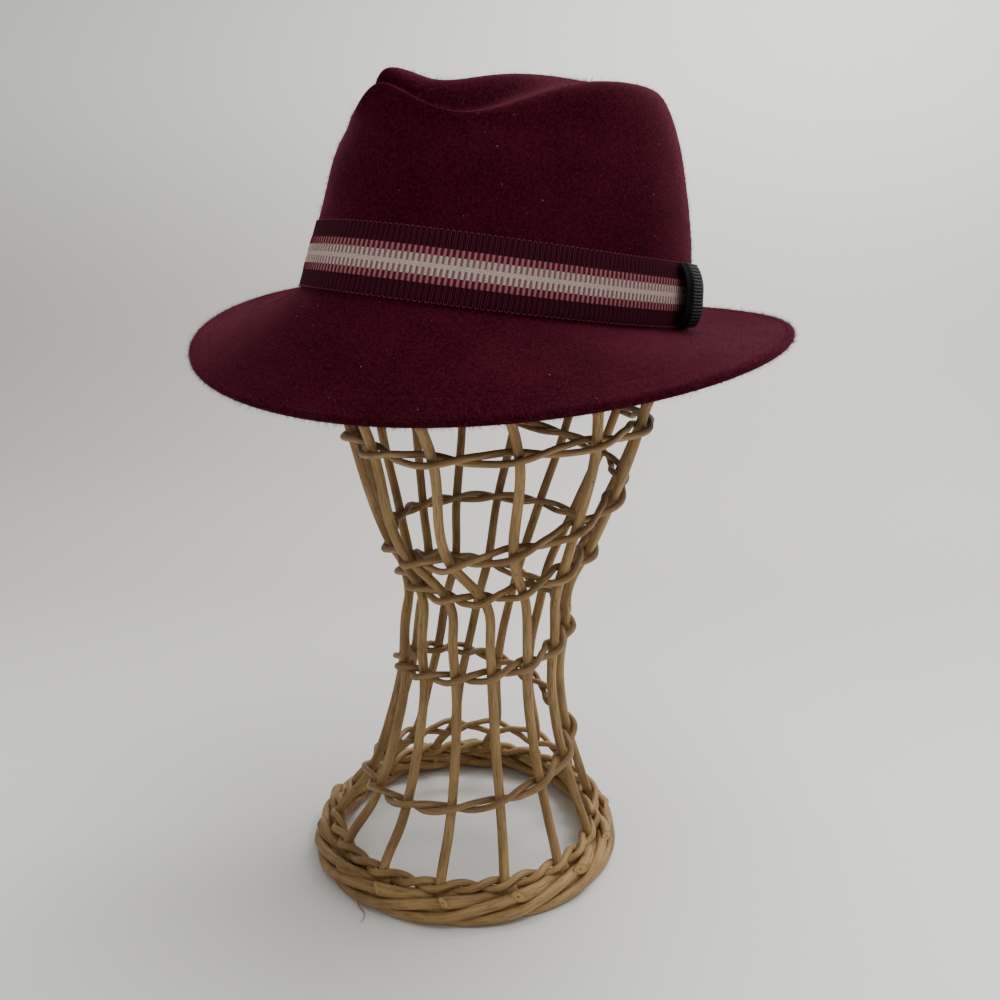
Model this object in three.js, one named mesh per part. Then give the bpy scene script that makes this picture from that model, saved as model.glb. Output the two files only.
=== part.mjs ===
// A felt trilby with a woven ribbon band, resting on a plain open wicker hat stand.
// Millimetres, +Z up. The hat's front faces -Y and the wearer's left side is +X.
// An angle t runs round the hat, 0 at its front and 90 degrees at the wearer's left.
import * as THREE from "three";
import * as NURBSUtils from "three/addons/curves/NURBSUtils.js";

// Driving dimensions of the hat
const crown_half_length = 97.5;
const crown_half_width = 83.9;
const crown_height = 100.3;
const crown_back_rise = 8.8; // how far the crown's tip tilts up towards the back
const side_dip = 2; // how far the break between crown and brim dips at both sides
const crown_egg = 0.124; // how much wider the oval is at the back than at the front
const brim_width = 57;
const felt_wall = 2.2;
const hem_width = 10;
const hem_wall = 3.8; // the felt is folded over along the brim's edge
const break_reach = 2; // how far the turn between crown and brim rounds each way
const pinch_depth = 6;
const pinch_drop = 18.1;

// Driving dimensions of the ribbons
const band_width = 26.8;
const band_wall = 0.8;
const keeper_width = 24;
const keeper_wall = 1.5;
const keeper_rise = 3.7; // how far the keeper arches off the band
const keeper_angle = 110; // where its middle lies, towards the wearer's left rear

// Driving dimensions of the stand
const border_outer_radius = 81;
const border_width = 17;
const border_height = 13.6;
const border_bevel = 3.2;
const shoulder_height = 217.4; // from the floor to the stand's top row of weaving
const shoulder_radius = 68.9;
const shoulder_lean = 16.6; // how far the shoulder's centre lies off the foot's centre
const lean_heading = 37.3;
const stake_count = 14;
const stake_radius = 2.4;
const stake_turn = 16.3;
const weaver_radius = 1.35;
const weave_start = -228; // where each turn of the weave begins, between two stakes
const cap_radius = 15;
const cap_wall = 5;

// Where the hat sits on the stand, and how it tips
const hat_center = new THREE.Vector3(15.2, 4.5, 282.2);
const hat_front_up = 4.1;
const hat_left_down = 4.2;

// Clearances
const ribbon_gap = 0.3;
const seat_gap = 0.3;
const cage_gap = 0.6;
const weave_gap = 0.7;
const turn_gap = 1; // degrees left open between one turn of the weave and the next

// Crown levels from the break up over the rim and down into the crease.
// Height is a share of the crown's height, length and width are shares of its half length
// and half width, and forward is how far the level is moved to the front.
const crown_levels = [
  { height: 0, length: 1, width: 1, forward: 0 },
  { height: 0.17, length: 0.979, width: 0.987, forward: -0.024 },
  { height: 0.38, length: 0.932, width: 0.955, forward: -0.04 },
  { height: 0.598, length: 0.894, width: 0.896, forward: -0.013 },
  { height: 0.796, length: 0.836, width: 0.831, forward: -0.009 },
  { height: 0.989, length: 0.794, width: 0.759, forward: 0.121 },
  { height: 0.937, length: 0.74, width: 0.572, forward: 0.08 },
  { height: 0.988, length: 0.553, width: 0.27, forward: 0.354 },
  { height: 0.871, length: 0.256, width: 0.19, forward: 0.094 },
  { height: 0.85, length: 0, width: 0, forward: 0 },
];

// The pinch on each side of the front: its place and reach in degrees round the crown and
// up the levels. The two meet in a nose, rounded over a few degrees.
const pinch = { angle: 35.4, angle_spread: 33.4, nose: 7, level: 0.631, level_spread: 0.215 };

// Brim sections, evenly spaced from the front to the back. Width is a share of the brim's
// width, and the slopes are degrees below level at the break and at the edge.
const brim_sections = [
  { width: 0.947, slope_in: 54.5, slope_out: 51.5 },
  { width: 1.032, slope_in: 30, slope_out: 35 },
  { width: 0.988, slope_in: 13, slope_out: -6.5 },
  { width: 0.79, slope_in: 6, slope_out: -32 },
  { width: 0.886, slope_in: 1, slope_out: -21 },
];

// The arch of the keeper from the band's top edge down: rise is a share of its full rise.
const keeper_arch = [
  { down: 0, rise: 0 },
  { down: 0.12, rise: 0.5 },
  { down: 0.3, rise: 0.88 },
  { down: 0.55, rise: 1 },
  { down: 0.8, rise: 0.97 },
  { down: 0.93, rise: 0.7 },
  { down: 1, rise: 0.4 },
];

// Cage sections from the foot to the shoulder, as shares of the shoulder's height, radius and
// lean. Twist is how many degrees the stakes have turned round the cage since the foot, and
// crowding is how far they are drawn together beside the crowd's middle, from 0 to 1.
const cage_sections = [
  { height: 0.16, radius: 0.834, lean: 0.299, twist: -2.8, crowding: 0 },
  { height: 0.338, radius: 0.652, lean: 0.408, twist: -4.6, crowding: 0 },
  { height: 0.449, radius: 0.595, lean: 0.508, twist: -7.7, crowding: 0 },
  { height: 0.57, radius: 0.606, lean: 0.637, twist: -12.6, crowding: 0 },
  { height: 0.652, radius: 0.594, lean: 0.76, twist: -16.2, crowding: 0 },
  { height: 0.787, radius: 0.765, lean: 0.86, twist: -19.9, crowding: 1 },
  { height: 1, radius: 1, lean: 1, twist: -26.2, crowding: 0.7 },
];
const crowd = { angle: -70.6, spread: 69.4, turn: -26 }; // stakes stray to one side, leaving a gap
const foot_radius = 0.847; // where the stakes meet the border, as a share of its outer radius
const cage_crown_levels = [0.02, 0.12, 0.26]; // levels at which a stake follows the crown
const cage_dome = [
  { inward: 0.15, rise: 0.38 },
  { inward: 0.5, rise: 0.8 },
];

// The weave climbs the cage as one spiral. Each row of this table is one turn of it, with its
// heights at four places round the turn, as shares of the shoulder's height.
const weave_turns = [
  { start: 0.156, quarter: 0.178, half: 0.219, three_quarters: 0.289 },
  { start: 0.399, quarter: 0.468, half: 0.501, three_quarters: 0.562 },
  { start: 0.637, quarter: 0.703, half: 0.68, three_quarters: 0.754 },
  { start: 0.803, quarter: 0.799, half: 0.762, three_quarters: 0.886 },
  { start: 0.978, quarter: 1.045, half: 1.008, three_quarters: 1.05 },
];
const weave_end = 1.035; // the height at which the last turn ends

// How finely the surfaces are divided
const hat_steps = 52;
const crown_rows = 12;
const stake_sides = 5;
const weaver_sides = 5;
const steps_per_stake_pair = 6;
const border_steps = 30;

// Materials
const felt = new THREE.MeshStandardMaterial({ color: 0x4a1222, roughness: 0.95, metalness: 0 });
const grosgrain = new THREE.MeshStandardMaterial({ color: 0x3d1020, roughness: 0.7, metalness: 0 });
const black_grosgrain = new THREE.MeshStandardMaterial({ color: 0x0c0c10, roughness: 0.65, metalness: 0 });
const willow = new THREE.MeshStandardMaterial({ color: 0x8a6f4d, roughness: 0.6, metalness: 0 });
const split_willow = new THREE.MeshStandardMaterial({ color: 0x7a6545, roughness: 0.65, metalness: 0 });

const radians = THREE.MathUtils.degToRad;
const full_turn = 2 * Math.PI;

// Crown surface

const spline_degree = 3;
const spans = crown_levels.length - spline_degree;
const knots = [
  ...Array(spline_degree).fill(0),
  ...Array.from({ length: spans + 1 }, (_, i) => i / spans),
  ...Array(spline_degree).fill(1),
];

// A level of the crown between the rows of its table, as a smooth cubic spline.
function crownLevel(v) {
  const u = Math.min(Math.max(v, 0), 1 - 1e-9);
  const span = NURBSUtils.findSpan(spline_degree, u, knots);
  const weights = NURBSUtils.calcBasisFunctions(span, u, spline_degree, knots);
  const level = { height: 0, length: 0, width: 0, forward: 0 };
  weights.forEach((weight, i) => {
    const row = crown_levels[span - spline_degree + i];
    for (const key in level) level[key] += weight * row[key];
  });
  return level;
}

// How strongly the side pinches act at a place: 1 in their middles.
function pinchWeight(t, v) {
  const side = Math.hypot(Math.atan2(Math.sin(t), Math.cos(t)), radians(pinch.nose));
  const round = (side - radians(pinch.angle)) / radians(pinch.angle_spread);
  const up = (v - pinch.level) / pinch.level_spread;
  return Math.exp(-round * round - up * up);
}

// A point of the crown's outer surface at an angle and a level, 0 at the break and 1 in the crease.
function crownPoint(t, v) {
  const level = crownLevel(v);
  const along = Math.cos(t);
  const across = Math.sin(t);
  const dip = side_dip * (1 - Math.cos(2 * t)) * 0.5 * Math.max(1 - level.height, 0);
  const tilt = crown_back_rise * along * level.height ** 2 * level.length;
  const inward = new THREE.Vector2(across / crown_half_width, -along / crown_half_length).normalize();
  const weight = pinchWeight(t, v);
  return new THREE.Vector3(
    crown_half_width * level.width * across * (1 - crown_egg * along) - pinch_depth * weight * inward.x,
    -crown_half_length * (level.length * along + level.forward) - pinch_depth * weight * inward.y,
    crown_height * level.height - dip - tilt - pinch_drop * weight,
  );
}

// The outward normal of the crown.
function crownNormal(t, v) {
  const step = 1e-3;
  const near_v = Math.min(v, 1 - 2 * step);
  const round = crownPoint(t + step, near_v).sub(crownPoint(t - step, near_v));
  const up = crownPoint(t, near_v + step).sub(crownPoint(t, Math.max(near_v - step, 0)));
  return round.cross(up).normalize();
}

// The level at which the crown stands a given height above the break.
function levelAtHeight(t, height) {
  let low = 0;
  let high = 0.5;
  for (let i = 0; i < 30; i++) {
    const middle = (low + high) / 2;
    if (crownPoint(t, middle).z - crownPoint(t, 0).z < height) low = middle;
    else high = middle;
  }
  return low;
}

// Brim surface

// A column of the brim's table between its sections, as a cosine series round the hat.
function brimValue(key, t) {
  const last = brim_sections.length - 1;
  let sum = 0;
  for (let wave = 0; wave <= last; wave++) {
    for (let row = 0; row <= last; row++) {
      const share = (wave % last ? 1 : 0.5) * (row % last ? 1 : 0.5) * (2 / last);
      sum += share * brim_sections[row][key] * Math.cos((wave * row * Math.PI) / last) * Math.cos(wave * t);
    }
  }
  return sum;
}

// A point of the brim's upper surface, a given distance out from the break along its curl.
function brimPoint(t, distance) {
  const slope_in = radians(brimValue("slope_in", t));
  const turn = radians(brimValue("slope_out", t)) - slope_in;
  const share = distance / (brim_width * brimValue("width", t));
  const half_turn = (turn * share) / 2;
  const chord = distance * (Math.abs(half_turn) > 1e-6 ? Math.sin(half_turn) / half_turn : 1);
  const outward = new THREE.Vector2(
    crown_half_length * Math.sin(t),
    -crown_half_width * (Math.cos(t) - crown_egg * Math.cos(2 * t)),
  ).normalize();
  const base = crownPoint(t, 0);
  const reach = chord * Math.cos(slope_in + half_turn);
  const drop = chord * Math.sin(slope_in + half_turn);
  return new THREE.Vector3(base.x + outward.x * reach, base.y + outward.y * reach, base.z - drop);
}

// Solids from rings of points

// Joins rings of points into one closed solid. A ring of one point is a pole. With no cap
// outline the last ring joins the first; with one, drawn anticlockwise, both ends are closed.
function loft(rings, cap_outline) {
  const points = rings.flat();
  const starts = [];
  let count = 0;
  for (const ring of rings) {
    starts.push(count);
    count += ring.length;
  }
  const index = [];
  const joinRings = (a, b) => {
    const sides = Math.max(rings[a].length, rings[b].length);
    for (let i = 0; i < sides; i++) {
      const next = (i + 1) % sides;
      const a0 = starts[a] + (i % rings[a].length);
      const a1 = starts[a] + (next % rings[a].length);
      const b0 = starts[b] + (i % rings[b].length);
      const b1 = starts[b] + (next % rings[b].length);
      if (a0 !== a1) index.push(a0, a1, b0);
      if (b0 !== b1) index.push(a1, b1, b0);
    }
  };
  for (let i = 0; i + 1 < rings.length; i++) joinRings(i, i + 1);
  const last = rings.length - 1;
  if (cap_outline) {
    for (const [a, b, c] of THREE.ShapeUtils.triangulateShape(cap_outline, [])) {
      index.push(c, b, a);
      index.push(starts[last] + a, starts[last] + b, starts[last] + c);
    }
  } else if (rings[0].length > 1) {
    joinRings(last, 0);
  }
  let volume = 0;
  for (let i = 0; i < index.length; i += 3) {
    const [a, b, c] = [points[index[i]], points[index[i + 1]], points[index[i + 2]]];
    volume += a.dot(b.clone().cross(c));
  }
  if (volume < 0) index.reverse();
  const geometry = new THREE.BufferGeometry().setFromPoints(points).setIndex(index);
  geometry.computeVertexNormals();
  return geometry;
}

// A flat polygon's corners, for the section of a round rod.
function polygon(radius, sides) {
  return Array.from({ length: sides }, (_, i) => {
    const angle = (full_turn * i) / sides;
    return new THREE.Vector2(radius * Math.cos(angle), radius * Math.sin(angle));
  });
}

// The ring of a rod's section at a point, square to the path's direction there.
function rodRing(point, direction, side, section) {
  const up = new THREE.Vector3().crossVectors(direction, side).normalize();
  const across = new THREE.Vector3().crossVectors(up, direction).normalize();
  return section.map((corner) => (
    point.clone().addScaledVector(across, corner.x).addScaledVector(up, corner.y)
  ));
}

// Felt: one body, from the crease over the crown and out to the folded brim edge

const hat_angles = Array.from({ length: hat_steps }, (_, i) => (full_turn * i) / hat_steps);
const band_heights = [break_reach, break_reach + band_width / 2, break_reach + band_width];

// The felt's upper surface at one angle, from the crease to the brim's edge, with its thickness.
function feltProfile(t) {
  const band_top = levelAtHeight(t, band_heights[2]);
  const profile = [];
  for (let i = 1; i <= crown_rows; i++) {
    profile.push({ point: crownPoint(t, 1 + ((band_top - 1) * i) / crown_rows), wall: felt_wall });
  }
  const middle = crownPoint(t, levelAtHeight(t, band_heights[1]));
  const low = crownPoint(t, levelAtHeight(t, band_heights[0]));
  profile.push({ point: middle, wall: felt_wall }, { point: low, wall: felt_wall });
  const turn = new THREE.QuadraticBezierCurve3(low, crownPoint(t, 0), brimPoint(t, break_reach));
  profile.push({ point: turn.getPoint(0.5), wall: felt_wall });
  const width = brim_width * brimValue("width", t) - hem_wall / 2;
  const hem_start = width - hem_width;
  const hem_step = hem_wall - felt_wall;
  for (const share of [0, 0.33, 0.67, 1]) {
    profile.push({ point: brimPoint(t, break_reach + (hem_start - break_reach) * share), wall: felt_wall });
  }
  profile.push({ point: brimPoint(t, hem_start + hem_step), wall: hem_wall });
  profile.push({ point: brimPoint(t, width), wall: hem_wall });
  return profile;
}

function feltBody() {
  const profiles = hat_angles.map(feltProfile);
  const rows = profiles[0].length;
  const top = crownPoint(0, 1);
  const outer = [];
  const inner = [];
  const edge = [];
  for (let row = 0; row < rows; row++) {
    const outer_ring = [];
    const inner_ring = [];
    profiles.forEach((profile, i) => {
      const here = profile[row].point;
      const left = profiles[(i + 1) % hat_steps][row].point;
      const right = profiles[(i + hat_steps - 1) % hat_steps][row].point;
      const above = row ? profile[row - 1].point : top;
      const below = row + 1 < rows ? profile[row + 1].point : here;
      const down = below.clone().sub(above);
      const normal = down.clone().cross(left.clone().sub(right)).normalize();
      outer_ring.push(here);
      inner_ring.push(here.clone().addScaledVector(normal, -profile[row].wall));
      if (row === rows - 1) {
        const rim = here.clone().addScaledVector(normal, -hem_wall / 2);
        edge.push(rim.addScaledVector(down.normalize(), hem_wall / 2));
      }
    });
    outer.push(outer_ring);
    inner.push(inner_ring);
  }
  const under_top = top.clone().add(new THREE.Vector3(0, 0, -felt_wall));
  return loft([[top], ...outer, edge, ...inner.reverse(), [under_top]]);
}

// Ribbons

// A point a given distance off the crown's outer surface, at a height above the break.
function offCrown(t, height, distance) {
  const v = levelAtHeight(t, height);
  return crownPoint(t, v).addScaledVector(crownNormal(t, v), distance);
}

function ribbonBand() {
  const inside = ribbon_gap;
  const outside = ribbon_gap + band_wall;
  const rings = hat_angles.map((t) => [
    ...band_heights.map((height) => offCrown(t, height, inside)),
    ...[...band_heights].reverse().map((height) => offCrown(t, height, outside)),
  ]);
  return loft(rings);
}

function ribbonKeeper() {
  const seat = ribbon_gap + band_wall + ribbon_gap;
  const length = band_width;
  const corner = (row, wall) => new THREE.Vector2(-length * row.down, seat + keeper_rise * row.rise + wall);
  const outline = [
    ...keeper_arch.map((row) => corner(row, keeper_wall)),
    ...[...keeper_arch].reverse().map((row) => corner(row, 0)),
  ];
  const middle = radians(keeper_angle);
  const per_radian = crownPoint(middle + 0.5, 0).distanceTo(crownPoint(middle - 0.5, 0));
  const half_angle = keeper_width / 2 / per_radian;
  const rings = [-1, -0.5, 0, 0.5, 1].map((share) => {
    const t = middle + half_angle * share;
    return outline.map((place) => offCrown(t, break_reach + length + place.x, place.y));
  });
  return loft(rings, outline);
}

// Stand

const hat_turn = new THREE.Euler(-radians(hat_front_up), radians(hat_left_down), 0, "XYZ");

// A point of the hat's own frame, placed where the hat sits on the stand.
function onStand(point) {
  return point.clone().applyEuler(hat_turn).add(hat_center);
}

// The cap lies just under the crease; its centre in the hat's own frame.
const cap_center = crownPoint(0, 1).add(new THREE.Vector3(0, 0, -felt_wall - seat_gap - cap_wall / 2));

// One upright line of the cage at an angle round the stand, from the border up to the cap.
function cageLine(angle) {
  const lean = new THREE.Vector2(Math.cos(radians(lean_heading)), Math.sin(radians(lean_heading)));
  const off_crowd = angle - radians(crowd.angle);
  const from_crowd = Math.atan2(Math.sin(off_crowd), Math.cos(off_crowd)) / radians(crowd.spread);
  const stray = radians(crowd.turn) * Math.exp(-from_crowd * from_crowd);
  const sections = [
    {
      height: (border_height + seat_gap) / shoulder_height,
      radius: (border_outer_radius * foot_radius) / shoulder_radius,
      lean: 0,
      twist: 0,
      crowding: 0,
    },
    ...cage_sections,
  ];
  const line = sections.map((row) => {
    const turned = angle + radians(row.twist) + stray * row.crowding;
    return new THREE.Vector3(
      shoulder_lean * row.lean * lean.x + shoulder_radius * row.radius * Math.cos(turned),
      shoulder_lean * row.lean * lean.y + shoulder_radius * row.radius * Math.sin(turned),
      shoulder_height * row.height,
    );
  });
  const top_angle = angle + radians(cage_sections[cage_sections.length - 1].twist);
  const t = top_angle + stray + Math.PI / 2;
  const inset = felt_wall + cage_gap + stake_radius;
  const follow = cage_crown_levels.map((v) => crownPoint(t, v).addScaledVector(crownNormal(t, v), -inset));
  const from = follow[follow.length - 1];
  const rim = new THREE.Vector3(Math.cos(top_angle), Math.sin(top_angle), 0);
  const end = cap_center.clone().addScaledVector(rim, cap_radius + seat_gap);
  const dome = cage_dome.map((row) => new THREE.Vector3(
    THREE.MathUtils.lerp(from.x, end.x, row.inward),
    THREE.MathUtils.lerp(from.y, end.y, row.inward),
    THREE.MathUtils.lerp(from.z, end.z, row.rise),
  ));
  return [...line, ...[...follow, ...dome, end].map(onStand)];
}

// The cage's surface at an angle and a height, with its outward and upward directions.
function cageAt(angle, height) {
  const line = cageLine(angle);
  const i = Math.max(line.findIndex((point) => point.z > height), 1);
  const [low, high] = [line[i - 1], line[i]];
  const share = (height - low.z) / (high.z - low.z);
  const point = low.clone().lerp(high, share);
  const beside = cageLine(angle + 1e-3);
  const round = beside[i - 1].clone().lerp(beside[i], share).sub(point).normalize();
  const out = round.clone().cross(high.clone().sub(low)).normalize();
  return { point, out, up: out.clone().cross(round) };
}

function stake(angle) {
  const line = cageLine(angle);
  const section = polygon(stake_radius, stake_sides);
  const side = new THREE.Vector3(-Math.sin(angle), Math.cos(angle), 0);
  const last = line.length - 1;
  const rings = line.map((point, i) => {
    const before = line[Math.max(i - 1, 0)];
    const after = i === last ? onStand(cap_center) : line[i + 1];
    const direction = after.clone().sub(i === last ? point : before).normalize();
    return rodRing(point, direction, side, section);
  });
  const rise = line[1].clone().sub(line[0]).normalize();
  for (const corner of rings[0]) corner.addScaledVector(rise, (line[0].z - corner.z) / rise.z);
  return loft(rings, section);
}

// The height of the weave, a given number of turns from its start.
const quarter_heights = [
  ...weave_turns.flatMap((row) => [row.start, row.quarter, row.half, row.three_quarters]),
  weave_end,
];
const weave_curve = new THREE.SplineCurve(quarter_heights.map((height, i) => new THREE.Vector2(i, height)));

// One of the two weavers of a turn: they pass in front of and behind the stakes in turn, and
// cross between them.
function weaver(turn, phase) {
  const pairs = stake_count / 2;
  const steps = pairs * steps_per_stake_pair;
  const side_reach = stake_radius + weaver_radius + weave_gap;
  const cross_reach = (weaver_radius + weave_gap / 2) / Math.sin(Math.PI / 3);
  const first_wave = pairs * radians(weave_start - stake_turn) + phase;
  const path = Array.from({ length: steps + 1 }, (_, i) => {
    const share = THREE.MathUtils.clamp(i / steps, turn_gap / 720, 1 - turn_gap / 720);
    const height = weave_curve.getPoint((turn + share) / weave_turns.length).y;
    const { point, out, up } = cageAt(radians(weave_start) + full_turn * share, shoulder_height * height);
    const wave = pairs * full_turn * share + first_wave;
    point.addScaledVector(out, side_reach * Math.cos(wave));
    point.addScaledVector(up, cross_reach * Math.sin(wave));
    return { point, out };
  });
  const section = polygon(weaver_radius, weaver_sides);
  const rings = path.map(({ point, out }, i) => {
    const before = path[Math.max(i - 1, 0)].point;
    const after = path[Math.min(i + 1, steps)].point;
    return rodRing(point, after.clone().sub(before).normalize(), out, section);
  });
  return loft(rings, section);
}

function borderRing() {
  const [outer, top, bevel] = [border_outer_radius, border_height, border_bevel];
  const inner = outer - border_width;
  const section = [
    [inner + bevel, 0],
    [outer - bevel, 0],
    [outer, bevel],
    [outer, top - bevel],
    [outer - bevel, top],
    [inner + bevel, top],
    [inner, top - bevel],
    [inner, bevel],
  ];
  const rings = Array.from({ length: border_steps }, (_, i) => {
    const angle = (full_turn * i) / border_steps;
    const [along, across] = [Math.cos(angle), Math.sin(angle)];
    return section.map(([radius, z]) => new THREE.Vector3(radius * along, radius * across, z));
  });
  return loft(rings);
}

// Assembly

function named(name, geometry, material) {
  const mesh = new THREE.Mesh(geometry, material);
  mesh.name = name;
  return mesh;
}

const hat = new THREE.Group();
hat.add(named("felt_body", feltBody(), felt));
hat.add(named("ribbon_band", ribbonBand(), grosgrain));
hat.add(named("ribbon_keeper", ribbonKeeper(), black_grosgrain));
hat.position.copy(hat_center);
hat.rotation.copy(hat_turn);

const stand = new THREE.Group();
stand.add(named("border", borderRing(), willow));
for (let i = 0; i < stake_count; i++) {
  const angle = (full_turn * i) / stake_count + radians(stake_turn);
  stand.add(named("stake_" + String(i + 1).padStart(2, "0"), stake(angle), willow));
}
for (let i = 0; i < weave_turns.length; i++) {
  stand.add(named(`row_${i + 1}_weaver_a`, weaver(i, 0), split_willow));
  stand.add(named(`row_${i + 1}_weaver_b`, weaver(i, Math.PI), split_willow));
}
const cap = named("cap", new THREE.CylinderGeometry(cap_radius, cap_radius, cap_wall, 24), willow);
cap.geometry.rotateX(Math.PI / 2);
cap.position.copy(onStand(cap_center));
cap.rotation.copy(hat_turn);
stand.add(cap);

// The whole stands with the middle of its underside at the origin.
const group = new THREE.Group();
group.add(hat, stand);
const box = new THREE.Box3().setFromObject(group, true);
const middle = box.getCenter(new THREE.Vector3());
group.position.set(-middle.x, -middle.y, -box.min.z);

export default group;
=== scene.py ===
"""Dresses the model of a felt trilby on a wicker stand: the brushed felt and its nap, the woven
ribbon and its black keeper, the willow rods of the stand, and a plain studio round them.

Lengths in the tables are millimetres. The hat's front faces -Y and the wearer's left is +X.
"""
import math

import bpy
import numpy as np
from bpy.props import FloatProperty, FloatVectorProperty, IntProperty, PointerProperty
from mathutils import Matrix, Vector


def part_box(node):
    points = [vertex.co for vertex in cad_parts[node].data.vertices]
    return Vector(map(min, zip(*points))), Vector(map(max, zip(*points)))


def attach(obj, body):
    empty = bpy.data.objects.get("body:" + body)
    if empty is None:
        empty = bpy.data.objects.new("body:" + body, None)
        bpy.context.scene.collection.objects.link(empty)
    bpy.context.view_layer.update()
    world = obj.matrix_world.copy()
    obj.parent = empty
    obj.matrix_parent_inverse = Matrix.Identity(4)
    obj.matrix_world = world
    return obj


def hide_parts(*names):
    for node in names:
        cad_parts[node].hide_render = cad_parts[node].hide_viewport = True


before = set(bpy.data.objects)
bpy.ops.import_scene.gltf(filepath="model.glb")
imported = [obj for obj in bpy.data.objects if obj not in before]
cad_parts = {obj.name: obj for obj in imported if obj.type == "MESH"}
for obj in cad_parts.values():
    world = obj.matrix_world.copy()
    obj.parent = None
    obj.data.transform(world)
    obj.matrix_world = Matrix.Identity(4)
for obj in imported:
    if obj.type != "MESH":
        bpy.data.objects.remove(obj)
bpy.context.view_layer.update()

bl_info = {
    "name": "Felt Trilby",
    "version": (1, 0, 0),
    "blender": (4, 5, 0),
    "location": "3D View > Sidebar > Trilby",
    "description": "Makes the felt, ribbons and wicker stand of a trilby",
    "category": "Object",
}

MM = 0.001
FULL_TURN = 2 * math.pi
UP = np.array([0.0, 0.0, 1.0])

# The hat's form, as in the solids
CROWN_HALF_LENGTH = 97.5
CROWN_HALF_WIDTH = 83.9
CROWN_HEIGHT = 100.3
CROWN_BACK_RISE = 8.8
CROWN_EGG = 0.124
SIDE_DIP = 2.0
BRIM_WIDTH = 57.0
FELT_WALL = 2.2
HEM_WIDTH = 10.0
HEM_WALL = 3.8
SEAM_STRIP = 2.0
SEAM_SPREAD = 0.75
FOLD_RELIEF = 0.08
BREAK_REACH = 2.0
PINCH_DEPTH = 6.0
PINCH_DROP = 18.1
PINCH = {"angle": 35.4, "angle_spread": 33.4, "nose": 7.0, "level": 0.631, "level_spread": 0.215}

# Crown levels from the break to the crease: height, length, width, forward
CROWN_LEVELS = np.array([
    (0, 1, 1, 0),
    (0.17, 0.979, 0.987, -0.024),
    (0.38, 0.932, 0.955, -0.04),
    (0.598, 0.894, 0.896, -0.013),
    (0.796, 0.836, 0.831, -0.009),
    (0.989, 0.794, 0.759, 0.121),
    (0.937, 0.74, 0.572, 0.08),
    (0.988, 0.553, 0.27, 0.354),
    (0.871, 0.256, 0.19, 0.094),
    (0.85, 0, 0, 0),
])

# Brim sections from the front to the back: width, slope at the break, slope at the edge
BRIM_SECTIONS = np.array([
    (0.947, 54.5, 51.5),
    (1.032, 30, 35),
    (0.988, 13, -6.5),
    (0.79, 6, -32),
    (0.886, 1, -21),
])

# The felt's columns of points, and its loose fibres, which crowd at the edge. A stray hair on the
# front of the brim has the angle and distance out where it starts, and its turn; each of its curls
# has a reach and a number of waves
FELT_COLUMNS = 288
LONGEST_FIBRE = 4.5
FIBRE_RADIUS = (0.045, 0.085)
FIBRE_ROOT = 0.15
FIBRE_LIFT = (0.2, 1.6)
EDGE_ROWS = 9
EDGE_CROWD = 8.0
STRAY_HAIRS = ((14.0, 46.0, 9.0), (24.0, 49.0, -6.0), (52.0, 38.0, 8.0), (-20.0, 40.0, 7.0))
HAIR_CURLS = ((3.5, 4.0), (1.5, 9.0))
HAIR_RADIUS = 0.07
HAIR_LIFT = 0.35

# Ribbons: where a rib's first column of stripe ends and its raised threads lie are shares of a rib,
# and the half widths of the stripe and its centre are shares of the band's width
RIBBON_GAP = 0.3
BAND_WIDTH = 26.8
BAND_WALL = 0.8
RIB_STEPS = 9
THREAD_PITCH = 0.55
COLUMN_END = 0.56
LEG_OFFSET = 0.33
STRIPE_HALF = 0.245
CENTRE_HALF = 0.03
COLUMN_FADE = 0.015
RIB_ROOT = 0.25
BAND_SKIN = 0.05
LOOP_RADIUS = 0.2
LOOP_REACH = 0.62
LOOP_ROOT = 0.15
LOOP_OFFSET = 0.75
KEEPER_WIDTH = 24.0
KEEPER_WALL = 1.5
KEEPER_RISE = 3.7
KEEPER_ANGLE = 110.0
KEEPER_FOLD = -1.15
KEEPER_FOLD_END = -0.6
KEEPER_RIB_RELIEF = 0.4
KEEPER_FACE = 0.3
KEEPER_EDGE_DROP = 0.45
KEEPER_FOLD_DROP = 0.6
KEEPER_INSIDE = 0.15

# Rows of points up the band: its lower edge and margin, the stripe's columns either side of its
# centre, and the upper margin and edge
BAND_ROWS = np.concatenate([
    [0, 0.012], np.linspace(0.03, 0.24, 5), np.linspace(0.26, 0.355, 3),
    [0.365, 0.46, 0.47, 0.53, 0.54, 0.635], np.linspace(0.645, 0.74, 3),
    np.linspace(0.76, 0.97, 5), [0.988, 1],
])

# The keeper's arch from the band's top to its bottom, as shares of the band's width and the rise
KEEPER_ARCH = np.array([(0, 0), (0.12, 0.5), (0.3, 0.88), (0.55, 1), (0.8, 0.97), (0.93, 0.7), (1, 0.4)])

# Where the hat sits, and the stand's foot, shoulder, stakes, weavers and cap
HAT_CENTER = np.array([15.2, 4.5, 282.2])
HAT_FRONT_UP = 4.1
HAT_LEFT_DOWN = 4.2
SHOULDER_HEIGHT = 217.4
SHOULDER_RADIUS = 68.9
SHOULDER_LEAN = 16.6
LEAN_HEADING = 37.3
BORDER_HEIGHT = 13.6
FOOT_RADIUS = 68.6
STAKE_END = 9.0
STAKE_FLARE = 0.6
STAKES = 14
STAKE_RADIUS = 2.4
STAKE_TURN = 16.3
STAKE_TAPER = 0.05
TWIST_RADIUS = 1.65
TWIST_SPREAD = 1.03
WEAVE_START = -228.0
TURN_STEPS = 392
WEAVE_LEAD = 0.3
LEAD_HEIGHT = 17.5
CAP_RADIUS = 15.0
CAP_WALL = 5.0
SEAT_GAP = 0.3
CAGE_GAP = 0.6

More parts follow.
